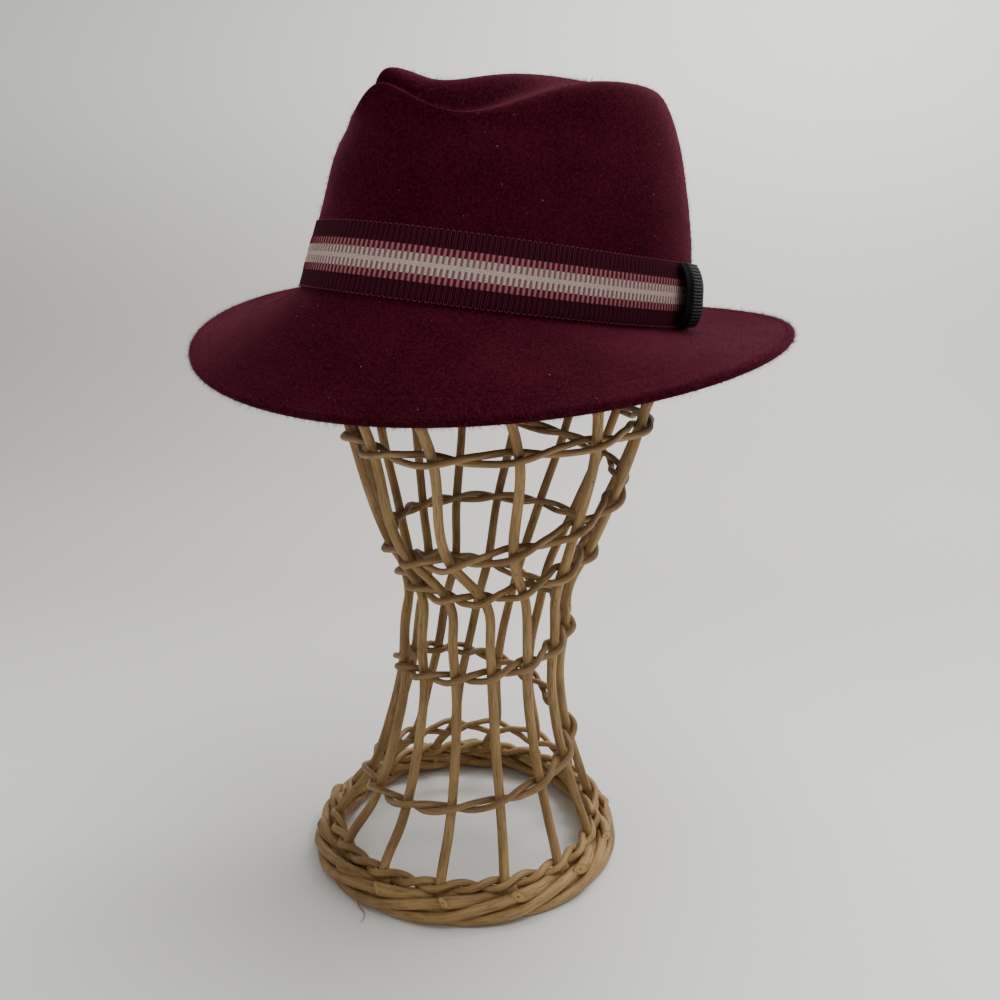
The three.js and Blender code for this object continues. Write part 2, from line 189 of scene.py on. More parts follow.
# Cage sections are height, radius and lean, as shares of the shoulder's, then the stakes' turn
# round the cage since the foot, and how far they are drawn into the crowd
CAGE_SECTIONS = np.array([
    (0.16, 0.834, 0.299, -2.8, 0),
    (0.338, 0.652, 0.408, -4.6, 0),
    (0.449, 0.595, 0.508, -7.7, 0),
    (0.57, 0.606, 0.637, -12.6, 0),
    (0.652, 0.594, 0.76, -16.2, 0),
    (0.787, 0.765, 0.86, -19.9, 1),
    (1, 1, 1, -26.2, 0.7),
])
CROWD = {"angle": -70.6, "spread": 69.4, "turn": -26.0}

# Inside the crown: the levels that the stakes follow, then shares of the way in and up to the cap
CAGE_CROWN_LEVELS = (0.02, 0.12, 0.26)
CAGE_DOME = ((0.15, 0.38), (0.5, 0.8))

# Heights of the weave at each quarter turn, as shares of the shoulder's
WEAVE_TURNS = 5
WEAVE_HEIGHTS = np.array([
    0.156, 0.178, 0.219, 0.289,
    0.399, 0.468, 0.501, 0.562,
    0.637, 0.703, 0.68, 0.754,
    0.803, 0.799, 0.762, 0.886,
    0.978, 1.045, 1.008, 1.05,
    1.035,
])

# One rolled rod of the foot: stake spacings travelled, radius and height of its middle
ROLLED_ROD = np.array([
    (0.25, 69, 11.2),
    (-0.4, 67.2, 8.2),
    (-1.0, 67.4, 4.4),
    (-1.5, 71.3, 6.8),
    (-2.0, 75.4, 9.7),
    (-2.5, 77.8, 7.9),
    (-3.05, 78.3, 4.1),
    (-3.6, 76.9, 2.8),
    (-4.2, 72.9, 2.8),
    (-4.8, 70, 3),
])
ROLLED_RADIUS = 2.75

# One cut end in the same columns, how far rods and ends stray round the foot at random, and the
# end's bevel and the slant of its cut, which fades out along it
CUT_END = np.array([(1.0, 68.0, 8.0), (0.75, 70.6, 9.6), (0.45, 74.4, 11.3), (0.13, 77.4, 12.2)])
CUT_RADIUS = 3.0
ROLLED_STRAY = 0.08
CUT_STRAY = 0.12
CUT_BEVEL = 0.25
CUT_SLANT = 0.9
CUT_FADE = 6.0
CUT_INNER = 0.4

# The core that the rolled rods lie round, the twisted row on them, and a loose splinter
CORE_RADIUS = 72.6
CORE_HEIGHT = 5.6
CORE_ROD = 4.2
FOOT_WAVES = 14
FOOT_ROW_HEIGHT = 14.6
FOOT_ROW_REACH = 1.8
FOOT_ROW_PAST_STAKE = 0.7
FOOT_ROW_RADIUS = 1.85
SPLINTER = np.array([(-4, -79, 4.5), (0, -81.6, 2.2), (4.7, -82.5, 0.5), (7, -85, 0.5), (8.5, -88.5, 0.8)])

# The camera, relative to the middle of the stand's foot
CAMERA_PLACE = np.array([298.1, -360.3, 302.0])
CAMERA_HEADING = (-0.6065, 0.7951)
CAMERA_DOWN = 13.88
FOCAL_PIXELS = 963.0
PHOTO_PIXELS = 1000.0
SENSOR_WIDTH = 36.0

# The studio's paper: where its floor starts and ends, its bend, the wall's top and the half width
PAPER_FRONT = -4200.0
PAPER_BACK = 900.0
PAPER_BEND = 1200.0
PAPER_TOP = 4200.0
PAPER_SIDE = 4500.0


def foot_middle():
    """The middle of the foot's underside in the model's frame, in millimetres."""
    low, high = (np.array(corner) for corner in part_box("border"))
    return np.array([(low[0] + high[0]) / 2, (low[1] + high[1]) / 2, low[2]]) / MM


FOOT = foot_middle()


def turn_about(axis, degrees):
    """The matrix of a turn about one of the three axes."""
    c, s = math.cos(math.radians(degrees)), math.sin(math.radians(degrees))
    matrix = np.eye(3)
    i, j = [(1, 2), (2, 0), (0, 1)][axis]
    matrix[i, i], matrix[i, j], matrix[j, i], matrix[j, j] = c, -s, s, c
    return matrix


HAT_TURN = turn_about(0, -HAT_FRONT_UP) @ turn_about(1, HAT_LEFT_DOWN)


def on_stand(points):
    """Points of the hat's own frame, turned and moved to where the hat sits on the stand."""
    return points @ HAT_TURN.T + HAT_CENTER


def unit(vectors):
    """The vectors divided by their lengths."""
    return vectors / np.maximum(np.linalg.norm(vectors, axis=-1, keepdims=True), 1e-12)


def circle(angles):
    """Points of a circle of radius 1: the cosine and sine of each angle, side by side."""
    return np.stack([np.cos(angles), np.sin(angles)], -1)


def run_along(path):
    """The length along a path up to each of its points: the running sum of its steps."""
    return np.concatenate([[0], np.cumsum(np.linalg.norm(np.diff(path, axis=0), axis=1))])


def shaded(color, factor, lift=0.0):
    """A colour times a factor, plus a lift."""
    return [c * factor + lift for c in color]


def ramp(values, low, high):
    """Smooth step: 0 up to low, 1 from high, and 3s squared minus 2s cubed between them."""
    share = np.clip((values - low) / (high - low), 0, 1)
    return share * share * (3 - 2 * share)


# The crown and the brim

def crown_level(v):
    """Clamped cubic B-spline through the table of levels: the basis functions of degree 0 are 1
    inside their knot span, and each higher degree blends two neighbours of the one below."""
    count = len(CROWN_LEVELS)
    knots = np.concatenate([np.zeros(3), np.linspace(0, 1, count - 2), np.ones(3)])
    u = np.clip(v, 0, 1 - 1e-9)[..., None]
    basis = ((u >= knots[:-1]) & (u < knots[1:])).astype(float)
    for degree in (1, 2, 3):
        left = knots[degree:-1] - knots[:-degree - 1]
        right = knots[degree + 1:] - knots[1:-degree]
        rise = np.where(left > 0, (u - knots[:-degree - 1]) / np.where(left > 0, left, 1), 0)
        fall = np.where(right > 0, (knots[degree + 1:] - u) / np.where(right > 0, right, 1), 0)
        basis = rise * basis[..., :-1] + fall * basis[..., 1:]
    return basis @ CROWN_LEVELS


def crown_point(t, v):
    """The crown's outer surface at angles t and levels v: an egg-shaped oval of the level's
    length and width, less a pinch that is a Gaussian round each side of the front."""
    t, v = np.broadcast_arrays(np.asarray(t, float), np.asarray(v, float))
    height, length, width, forward = np.moveaxis(crown_level(v), -1, 0)
    along, across = np.cos(t), np.sin(t)
    side = np.hypot(np.arctan2(across, along), math.radians(PINCH["nose"]))
    round_it = (side - math.radians(PINCH["angle"])) / math.radians(PINCH["angle_spread"])
    up = (v - PINCH["level"]) / PINCH["level_spread"]
    weight = np.exp(-round_it**2 - up**2)
    inward = unit(np.stack([across / CROWN_HALF_WIDTH, -along / CROWN_HALF_LENGTH], -1))
    dip = SIDE_DIP * (1 - np.cos(2 * t)) / 2 * np.maximum(1 - height, 0)
    tilt = CROWN_BACK_RISE * along * height**2 * length
    x = CROWN_HALF_WIDTH * width * across * (1 - CROWN_EGG * along) - PINCH_DEPTH * weight * inward[..., 0]
    y = -CROWN_HALF_LENGTH * (length * along + forward) - PINCH_DEPTH * weight * inward[..., 1]
    return np.stack([x, y, CROWN_HEIGHT * height - dip - tilt - PINCH_DROP * weight], -1)


def crown_normal(t, v):
    """The outward direction of the crown: the cross product of its two slopes."""
    step = 1e-3
    near = np.minimum(v, 1 - 2 * step)
    round_it = crown_point(t + step, near) - crown_point(t - step, near)
    up = crown_point(t, near + step) - crown_point(t, np.maximum(near - step, 0))
    return unit(np.cross(round_it, up))


def level_at_height(t, height):
    """The level at which the crown stands a height above the break, by halving an interval."""
    t, height = np.broadcast_arrays(np.asarray(t, float), np.asarray(height, float))
    low, high = np.zeros(t.shape), np.full(t.shape, 0.5)
    base = crown_point(t, np.zeros(t.shape))[..., 2]
    for _ in range(26):
        middle = (low + high) / 2
        below = crown_point(t, middle)[..., 2] - base < height
        low, high = np.where(below, middle, low), np.where(below, high, middle)
    return low


def off_crown(t, height, distance):
    """Points a distance off the crown's surface, at a height above the break."""
    v = level_at_height(t, height)
    return crown_point(t, v) + crown_normal(t, v) * np.asarray(distance, float)[..., None]


def brim_value(column, t):
    """A column of the brim's table at angles t: the cosine series that passes through its rows."""
    last = len(BRIM_SECTIONS) - 1
    rows = np.arange(last + 1)
    share = np.where(rows % last, 1, 0.5)
    waves = np.cos(np.outer(rows, rows) * math.pi / last) * np.outer(share, share) * 2 / last
    return np.cos(np.asarray(t)[..., None] * rows) @ (waves @ BRIM_SECTIONS[:, column])


def brim_point(t, distance):
    """The brim's upper surface a distance out from the break: an arc whose slope turns evenly
    from the break to the edge, laid square to the crown's oval."""
    t, distance = np.broadcast_arrays(np.asarray(t, float), np.asarray(distance, float))
    width, slope_in, slope_out = (brim_value(column, t) for column in range(3))
    slope_in, slope_out = np.radians(slope_in), np.radians(slope_out)
    half_turn = (slope_out - slope_in) * distance / (BRIM_WIDTH * width) / 2
    chord = distance * np.sinc(half_turn / math.pi)
    outward = unit(np.stack([
        CROWN_HALF_LENGTH * np.sin(t),
        -CROWN_HALF_WIDTH * (np.cos(t) - CROWN_EGG * np.cos(2 * t)),
    ], -1))
    reach = outward * (chord * np.cos(slope_in + half_turn))[..., None]
    base = crown_point(t, np.zeros(t.shape))
    drop = chord * np.sin(slope_in + half_turn)
    return base + np.concatenate([reach, -drop[..., None]], -1)


# Meshes

def grid_faces(rows, columns, round_rows=False):
    """Quads between neighbouring points of a grid whose columns close on themselves."""
    r = np.arange(rows if round_rows else rows - 1)[:, None]
    c = np.arange(columns)[None, :]
    below, beside = (r + 1) % rows * columns, (c + 1) % columns
    return np.stack([r * columns + c, r * columns + beside, below + beside, below + c], -1).reshape(-1, 4)


def fan(ring, middle, turned):
    """Triangles from a ring of points to one point in its middle."""
    after = np.roll(ring, -1)
    first, second = (after, ring) if turned else (ring, after)
    return np.stack([second, first, np.full(len(ring), middle)], -1)


def end_fans(total, sides):
    """Fans that close the first and the last ring of a grid of points. Their two middles are the
    points that follow the grid."""
    return np.concatenate([
        fan(np.arange(sides), total, False),
        fan(np.arange(total - sides, total), total + 1, True),
    ])


class Shape:
    """Points and faces of a closed piece, gathered before they become one mesh."""

    def __init__(self):
        self.points, self.quads, self.triangles, self.marks = [], [], [], []
        self.count = 0

    def add(self, points, quads, triangles=None, marks=None):
        """Adds one closed surface; a negative enclosed volume turns its faces round."""
        triangles = np.zeros((0, 3), int) if triangles is None else triangles
        halves = np.concatenate([quads[:, :3], quads[:, [0, 2, 3]], triangles])
        a, b, c = (points[halves[:, k]] for k in range(3))
        if np.einsum("ij,ij->", a - points[0], np.cross(b - points[0], c - points[0])) < 0:
            quads, triangles = quads[:, ::-1], triangles[:, ::-1]
        self.points.append(points)
        self.quads.append(quads + self.count)
        self.triangles.append(triangles + self.count)
        self.marks.append(np.zeros_like(points) if marks is None else marks)
        self.count += len(points)

    def tube(self, rings, marks=None, closed=False):
        """Adds rings of points, joined in order. A closed tube's last ring meets its first, and an
        open one's two ends are each closed by a fan to the middle of the ring."""
        steps, sides = rings.shape[:2]
        quads = grid_faces(steps, sides, closed)
        marks = np.zeros_like(rings) if marks is None else marks
        points, flat_marks = rings.reshape(-1, 3), marks.reshape(-1, 3)
        if closed:
            self.add(points, quads, None, flat_marks)
            return
        points = np.concatenate([points, rings[[0, -1]].mean(1)])
        flat_marks = np.concatenate([flat_marks, marks[[0, -1]].mean(1)])
        self.add(points, quads, end_fans(steps * sides, sides), flat_marks)

    def rod(self, path, side, radius, sides, offset=0.0, closed=False):
        """Adds a round rod. Its grain starts an offset along, so that no two rods look alike."""
        rings, marks = rod_rings(path, side, radius, sides, closed)
        self.tube(rings, marks + offset * UP, closed)

    def build(self, name, finish, slot, mark_name="grain"):
        """Makes the object: its points, faces and marks are set as whole arrays."""
        points = (np.concatenate(self.points) + FOOT) * MM
        quads, triangles = np.concatenate(self.quads), np.concatenate(self.triangles)
        mesh = bpy.data.meshes.new(name)
        mesh.from_pydata(points, [], [*quads.tolist(), *triangles.tolist()], shade_flat=False)
        marks = mesh.attributes.new(mark_name, "FLOAT_VECTOR", "POINT")
        marks.data.foreach_set("vector", np.concatenate(self.marks).astype(np.float32).ravel())
        if mesh.validate():
            raise RuntimeError(f"{name} has faces that can't be drawn")
        mesh.materials.append(finish)
        piece = bpy.data.objects.new(name, mesh)
        bpy.context.scene.collection.objects.link(piece)
        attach(piece, "root")
        return piece


def smooth_line(points, steps):
    """A smooth curve through rows of points: cubic Hermite spans whose slopes are weighted by the
    lengths of the two chords that meet there."""
    chords = points[..., 1:, :] - points[..., :-1, :]
    lengths = np.maximum(np.linalg.norm(chords, axis=-1, keepdims=True), 1e-9)
    slopes = chords / lengths
    inner = slopes[..., :-1, :] * lengths[..., 1:, :] + slopes[..., 1:, :] * lengths[..., :-1, :]
    inner = inner / (lengths[..., 1:, :] + lengths[..., :-1, :])
    slopes = np.concatenate([slopes[..., :1, :], inner, slopes[..., -1:, :]], -2)
    s = (np.arange(steps) / steps)[:, None]
    p0, p1 = points[..., :-1, None, :], points[..., 1:, None, :]
    m0 = slopes[..., :-1, None, :] * lengths[..., None, :]
    m1 = slopes[..., 1:, None, :] * lengths[..., None, :]
    curve = (2 * s**3 - 3 * s**2 + 1) * p0 + (s**3 - 2 * s**2 + s) * m0
    curve = curve + (3 * s**2 - 2 * s**3) * p1 + (s**3 - s**2) * m1
    curve = curve.reshape(*points.shape[:-2], -1, 3)
    return np.concatenate([curve, points[..., -1:, :]], -2)


def rod_rings(path, side, radius, sides, closed=False):
    """Rings of points round a path, square to its direction, with marks that follow the rod: two
    numbers across it and the length along it."""
    if closed:
        direction = unit(np.roll(path, -1, 0) - np.roll(path, 1, 0))
        along = np.cumsum(np.linalg.norm(path - np.roll(path, 1, 0), axis=1))
    else:
        direction = unit(np.gradient(path, axis=0))
        along = run_along(path)
    up = unit(np.cross(direction, side))
    across = np.cross(up, direction)
    angle = np.arange(sides) * FULL_TURN / sides
    radius = np.broadcast_to(np.asarray(radius, float), len(path))[:, None, None]
    spread = across[:, None] * np.cos(angle)[:, None] + up[:, None] * np.sin(angle)[:, None]
    marks = np.stack(np.broadcast_arrays(np.cos(angle)[None], np.sin(angle)[None], along[:, None]), -1)
    return path[:, None] + radius * spread, marks


def cut_rod(path, side, radius, sides):
    """A rod with two cut ends, the last one slanting so that it faces aside: beyond each end come
    a narrower ring, past a bevel, and a small one in the cut's plane."""
    first, last = unit(path[1] - path[0]), unit(path[-1] - path[-2])
    rings, marks = rod_rings(path, side, radius, sides)
    near_end = np.clip(1 - np.linalg.norm(path - path[-1], axis=1) / CUT_FADE, 0, 1)
    aside = ((rings - path[:, None]) * side[:, None]).sum(-1)
    rings = rings - last * (CUT_SLANT * aside * near_end[:, None])[..., None]
    ends = []
    for ring, out in ((rings[0], -first), (rings[-1], last)):
        middle = ring.mean(0)
        ends.append([middle + (ring - middle) * share + out * CUT_BEVEL
                     for share in (1 - CUT_BEVEL / radius, CUT_INNER)])
    rings = np.concatenate([ends[0][::-1], rings, ends[1]])
    inner = marks[[0, -1]] * [CUT_INNER, CUT_INNER, 1]
    marks = np.concatenate([inner[:1], marks[:1], marks, marks[-1:], inner[1:]])
    return rings, marks


# Finishes

def maths_step(operation, turned=False):
    """An operator that adds its Math node, with the two values turned round for its reflected form."""
    def add_step(value, other):
        return value.maths(operation, *((other, value) if turned else (value, other)))
    return add_step


class Value:
    """A socket in a finish, so that shader maths reads as plain arithmetic."""

    def __init__(self, finish, socket):
        self.finish, self.socket = finish, socket

    def maths(self, operation, *values):
        return Value(self.finish, self.finish.node("Math", {"operation": operation}, *values))

    __add__, __radd__ = maths_step("ADD"), maths_step("ADD", True)
    __sub__, __rsub__ = maths_step("SUBTRACT"), maths_step("SUBTRACT", True)
    __mul__, __rmul__ = maths_step("MULTIPLY"), maths_step("MULTIPLY", True)

    def fraction(self):
        return self.maths("FRACT", self)

    def distance(self, other):
        return self.maths("ABSOLUTE", self - other)

    def between(self, low, high):
        """0 below low, 1 above high, smooth between; turned round if low is the larger."""
        smooth = {"interpolation_type": "SMOOTHSTEP"}
        return Value(self.finish, self.finish.node("MapRange", smooth, self, low, high, 0.0, 1.0))


class Finish:
    """One material's node tree, with the few steps that the finishes share."""

    def __init__(self, name, **fixed):
        self.material = bpy.data.materials.new(name)
        self.material.use_nodes = True
        self.tree = self.material.node_tree
        self.shader = self.tree.nodes["Principled BSDF"]
        for socket, value in fixed.items():
            self.shader.inputs[socket.replace("_", " ")].default_value = value

    def plug(self, value, socket):
        """Links a value to a socket, or sets a plain number or colour there."""
        value = value.socket if isinstance(value, Value) else value
        if isinstance(value, bpy.types.NodeSocket):
            self.tree.links.new(value, socket)
        else:
            socket.default_value = value

    def node(self, kind, settings, *values, output=0, **named):
        """Adds a node of a kind: its settings are set first, then the values or links of its
        sockets, and the wanted output is given back. None leaves a socket as it is."""
        node = self.tree.nodes.new("ShaderNode" + kind)
        for key, setting in settings.items():
            setattr(node, key, setting)
        for key, value in (*enumerate(values), *named.items()):
            if value is not None:
                self.plug(value, node.inputs[key])
        return node.outputs[output]

    def feed(self, socket, value):
        """Gives the shader a colour or number that varies over the surface."""
        self.plug(value, self.shader.inputs[socket])

    def object_place(self):
        """The place on the object in metres."""
        return self.node("TexCoord", {}, output="Object")

    def mark(self, name):
        """The piece's own marks, which follow its surface."""
        return self.node("Attribute", {"attribute_name": name}, output="Vector")

    def parts(self, vector):
        """The three numbers of a vector."""
        return [Value(self, part) for part in self.node("SeparateXYZ", {}, vector).node.outputs]

    def noise(self, vector, scale, detail=2.0, roughness=0.5):
        """Cloudy noise; three scales stretch it along the axes."""
        if isinstance(scale, tuple):
            vector, scale = self.node("Mapping", {}, Vector=vector, Scale=scale), 1.0
        return Value(self, self.node("TexNoise", {}, Vector=vector, Scale=scale, Detail=detail,
                                     Roughness=roughness))

    def mix(self, amount, first, second, blend="MIX"):
        """Two colours mixed by an amount."""
        colors = [c if isinstance(c, bpy.types.NodeSocket) else (*c, 1) for c in (first, second)]
        return self.node("Mix", {"data_type": "RGBA", "blend_type": blend}, amount, *[None] * 5, *colors,
                         output=2)

    def bump(self, height, distance, strength=1.0):
        """Raises the surface by a height map, in millimetres."""
        self.feed("Normal", self.node("Bump", {}, Height=height, Distance=distance * MM, Strength=strength))


def felt_finish(color):
    """Brushed felt: two tones of one dye in a fine fibrous mottle over a faint cloudy one, with a
    soft relief, a few pale specks of lint and a red bloom at grazing angles."""
    finish = Finish("brushed_felt", Roughness=0.95, Specular_IOR_Level=0.02, Sheen_Weight=0.17,
                    Sheen_Roughness=0.35, Sheen_Tint=(0.9, 0.2, 0.33, 1))
    place = finish.object_place()
    cloud = finish.noise(place, 38.0, 3.0)
    fibres = finish.noise(place, 800.0, 4.0, 0.65)
    fine = finish.noise(place, 2600.0, 3.0, 0.7)
    tone = (cloud * 0.25 + fibres * 0.75).between(0.36, 0.64)
    lint = finish.noise(place, 750.0, 0.0).between(0.87, 0.9)
    dyed = finish.mix(tone, shaded(color, 0.6), shaded(color, 1.4, 0.002))
    finish.feed("Base Color", finish.mix(lint * 0.3, dyed, (0.5, 0.36, 0.36)))
    finish.feed("Roughness", fibres * 0.1 + 0.88)
    finish.bump(fibres * 0.6 + fine * 0.4, 0.3, 0.6)
    return finish.material


def nap_finish(color):
    """Loose felt fibres: the felt's dye, lighter towards some of them."""
    finish = Finish("felt_fibres", Roughness=0.85, Specular_IOR_Level=0.05, Sheen_Weight=0.3,
                    Sheen_Tint=(0.9, 0.25, 0.38, 1))
    tone = finish.noise(finish.object_place(), 700.0, 1.0).between(0.35, 0.65)
    finish.feed("Base Color", finish.mix(tone, color, shaded(color, 1.5, 0.004)))
    return finish.material


def ribbon_finish(sizes):
    """The woven band: plum margins with paired raised threads, and between them a stripe whose
    columns change colour from one rib to the next. Marks hold the ribs round and the height up."""
    finish = Finish("woven_ribbon", Roughness=0.75, Specular_IOR_Level=0.05)
    weave = finish.mark("weave")
    ribs, rise, _ = finish.parts(weave)
    grain = finish.noise(weave, (2.2, 90, 1))
    across = finish.noise(weave, (9, 26, 1), 3.0, 0.6)
    place = (ribs + (grain - 0.5) * 0.05).fraction()
    height = rise + (across - 0.5) * 0.008
    column = place.between(0.5, COLUMN_END) * (1 - place.between(0.94, 1.0))
    column = column + (1 - place.between(0.0, 0.04)) * 0.5
    from_middle = height.distance(0.5)
    outer = from_middle.between(0.139, 0.147)
    centre = 1 - from_middle.between(0.03, 0.037)
    margin = from_middle.between(0.247, 0.256)
    first = finish.mix(outer, sizes.cream, sizes.crimson)
    second = finish.mix(outer, sizes.mauve, sizes.pale_mauve)
    stripe = finish.mix(column, first, second)
    stripe = finish.mix(centre, stripe, sizes.cream)
    threads = (height * (BAND_WIDTH / THREAD_PITCH)).fraction().distance(0.5)
    knots = finish.noise(weave, (7, 110, 1), 1.0).between(0.42, 0.62)
    between_threads = (threads.between(0.28, 0.45) * 0.45 + knots * 0.6) * (1 - outer)
    stripe = finish.mix(between_threads, stripe, sizes.mauve)
    legs = 1 - place.distance(0.5).distance(LEG_OFFSET).between(0.015, 0.055)
    plum = finish.mix(legs * 0.8, shaded(sizes.plum, 0.75), sizes.plum_thread)
    cloth = finish.mix(margin, stripe, plum)
    shade = finish.mix(across.between(0.25, 0.75), (0.72, 0.72, 0.72), (1.0, 1.0, 1.0))
    finish.feed("Base Color", finish.mix(0.55, cloth, shade, "MULTIPLY"))
    edges = place.distance(COLUMN_END).between(0.0, 0.06) * place.distance(0.0).between(0.0, 0.06)
    finish.bump(edges * 0.5 + legs * margin * 0.5 + threads * 0.35 + across * 0.25, 0.22, 0.7)
    return finish.material


def thread_finish(color):
    """A twisted thread: fine strands, light and dark."""
    finish = Finish("loop_thread", Specular_IOR_Level=0.1)
    strand = finish.noise(finish.object_place(), 3500.0)
    finish.feed("Base Color", finish.mix(strand.between(0.3, 0.7), shaded(color, 0.6), shaded(color, 1.3)))
    finish.feed("Roughness", strand * 0.2 + 0.5)
    finish.bump(strand, 0.08, 0.6)
    return finish.material


def grosgrain_finish(color):
    """Black ribbed ribbon: fine warp threads over each rib, with a painted sheen that makes the ridges
    paler and painted shade that darkens the grooves and the folded side.
    Marks hold the width, the ribs along and the relief."""
    finish = Finish("black_ribbed_ribbon", Specular_IOR_Level=0.08)
    weave = finish.mark("weave")
    warp = finish.noise(weave, (70, 2.4, 1))
    across, _, relief = finish.parts(weave)
    # Painted sheen and shade: the rib ridges are painted paler, as if lit, and the grooves and the folded
    # side towards the hat's front are painted near black, as shade; the warp noise breaks up the painted
    # sheen.
    lit_ridge = relief.between(0.3, 0.95) * across.between(-0.7, -0.55)
    painted_ridge_sheen = lit_ridge * (warp * 0.8 + 0.3)
    finish.feed("Base Color", finish.mix(painted_ridge_sheen, shaded(color, 0.25), shaded(color, 2.2, 0.004)))
    finish.feed("Roughness", 0.85 - lit_ridge * 0.3)
    finish.bump(warp, 0.12, 0.8)
    return finish.material


def willow_finish(name, light, dark, streak=1.1, knots=True, faces=False):
    """Peeled willow: long streaks that follow the rod, a slow change from honey to brown, a few
    darker flecks, and a low gloss. Marks hold two numbers across the rod and the length along;
    where those two fall below a rod's own radius lies a cut face, paler with a dark pith."""
    finish = Finish(name, Specular_IOR_Level=0.42)
    grain = finish.mark("grain")
    slow = finish.noise(grain, (0.25, 0.25, 0.035), 3.0)
    long_streak = finish.noise(grain, (streak, streak, 0.04), 3.0, 0.6)
    fine = finish.noise(grain, (streak * 3.6, streak * 3.6, 0.12), 2.0, 0.7)
    patch = finish.noise(finish.object_place(), 26.0)
    tone = (slow * 0.3 + long_streak * 0.4 + patch * 0.3).between(0.34, 0.66)
    color = finish.mix(tone, dark, light)
    lines = fine.between(0.5, 0.68) * 0.65
    color = finish.mix(lines, color, shaded(dark, 0.55))
    if knots:
        fleck = finish.noise(grain, (0.9, 0.9, 0.3), 1.0).between(0.71, 0.8)
        color = finish.mix(fleck * 0.7, color, shaded(dark, 0.35))
    if faces:
        first, second, _ = finish.parts(grain)
        middle = first * first + second * second
        color = finish.mix(middle.between(0.9, 0.6), color, shaded(light, 1.15))
        color = finish.mix(middle.between(0.035, 0.015), color, shaded(dark, 0.6))
    finish.feed("Base Color", color)
    finish.feed("Roughness", 0.66 - tone * 0.16 + lines * 0.2)
    finish.bump(long_streak * 0.5 + fine * 0.5, 0.3, 0.6)
    return finish.material


def cap_finish(color):
    """Sawn willow: rings about the middle and a rough end grain."""
    finish = Finish("sawn_willow", Roughness=0.75, Specular_IOR_Level=0.3)
    place = finish.object_place()
    rings = Value(finish, finish.node("TexWave", {"wave_type": "RINGS", "rings_direction": "Z"},
                                      Vector=place, Scale=180.0, Distortion=2.5, Detail=2.0))
    pores = finish.noise(place, 1500.0)
    finish.feed("Base Color", finish.mix(rings * 0.6 + pores * 0.3, shaded(color, 0.6), color))
    finish.bump(pores + rings * 0.4, 0.25, 0.6)
    return finish.material


def paper_finish(color):
    """Matt studio paper with the faintest mottle, and a painted shade that greys the floor where it runs
    back, most of all on the left, and leaves the wall palest, as if lit more."""
    finish = Finish("studio_paper", Roughness=0.92, Specular_IOR_Level=0.15)
    x, y, z = finish.parts(finish.object_place())
    # Painted shade: the floor is greyed towards the back and the left, fading out up the wall, as if less
    # light fell there.
    away = x * CAMERA_HEADING[0] + y * CAMERA_HEADING[1]
    right = (x * CAMERA_HEADING[1] - y * CAMERA_HEADING[0]).between(-0.7, 0.8)
    painted_floor_shade = away.between(-0.2, 0.45) * (1 - z.between(0.1, 0.8)) * (1 - right * 0.35)
    mottle = finish.noise(finish.object_place(), 14.0, 3.0)
    tone = finish.mix(painted_floor_shade, color, [c * g for c, g in zip(color, (0.61, 0.6, 0.58))])
    finish.feed("Base Color", finish.mix(mottle * 0.03, tone, (0.6, 0.6, 0.58)))
    return finish.material


# The stand's lines

def cage_lines(angles):
    """Smooth upright lines of the cage at angles round the stand: the foot, the sections, then a
    fixed inset from the crown's inside, and a dome up to the cap. The stray into the crowd is a
    Gaussian of the angle from its middle."""
    angles = np.asarray(angles, float)
    lean = circle(math.radians(LEAN_HEADING))
    from_crowd = angles - math.radians(CROWD["angle"])
    from_crowd = np.arctan2(np.sin(from_crowd), np.cos(from_crowd)) / math.radians(CROWD["spread"])
    stray = math.radians(CROWD["turn"]) * np.exp(-from_crowd**2)
    foot = (STAKE_END / SHOULDER_HEIGHT, (FOOT_RADIUS + STAKE_FLARE) / SHOULDER_RADIUS, 0, 0, 0)
    base = ((BORDER_HEIGHT + SEAT_GAP) / SHOULDER_HEIGHT, FOOT_RADIUS / SHOULDER_RADIUS, 0, 0, 0)
    sections = np.concatenate([[foot, base], CAGE_SECTIONS])
    turned = angles[:, None] + np.radians(sections[:, 3]) + stray[:, None] * sections[:, 4]
    level = SHOULDER_LEAN * sections[:, 2:3] * lean + SHOULDER_RADIUS * sections[:, 1:2] * circle(turned)
    heights = np.broadcast_to(SHOULDER_HEIGHT * sections[:, :1], (*level.shape[:2], 1))
    lower = np.concatenate([level, heights], -1)
    top = angles + math.radians(CAGE_SECTIONS[-1, 3])
    t = (top + stray + math.pi / 2)[:, None]
    inset = FELT_WALL + CAGE_GAP + STAKE_RADIUS
    v = np.array(CAGE_CROWN_LEVELS)
    follow = crown_point(t, v) - inset * crown_normal(t, v)
    middle = crown_point(0, 1) - (FELT_WALL + SEAT_GAP + CAP_WALL / 2) * UP
    end = middle + (CAP_RADIUS + SEAT_GAP) * np.stack([np.cos(top), np.sin(top), 0 * top], -1)
    start = follow[:, -1]
    dome = [start + (end - start) * [inward, inward, rise] for inward, rise in CAGE_DOME]
    upper = on_stand(np.concatenate([follow, np.stack([*dome, end], 1)], 1))
    return smooth_line(np.concatenate([lower, upper], 1), 10)


def cage_at(angles, heights):
    """The cage's surface at angles and heights, by straight steps along its lines, with the
    directions out of it and up it."""
    lines, beside = cage_lines(angles), cage_lines(angles + 1e-3)
    heights = np.broadcast_to(heights, len(lines))
    i = np.clip((lines[:, :, 2] <= heights[:, None]).argmin(1), 1, None)
    rows = np.arange(len(lines))
    low, high = lines[rows, i - 1], lines[rows, i]
    share = ((heights - low[:, 2]) / (high[:, 2] - low[:, 2]))[:, None]
    point = low + (high - low) * share
    round_it = unit(beside[rows, i - 1] * (1 - share) + beside[rows, i] * share - point)
    out = unit(np.cross(round_it, high - low))
    return point, out, np.cross(out, round_it)


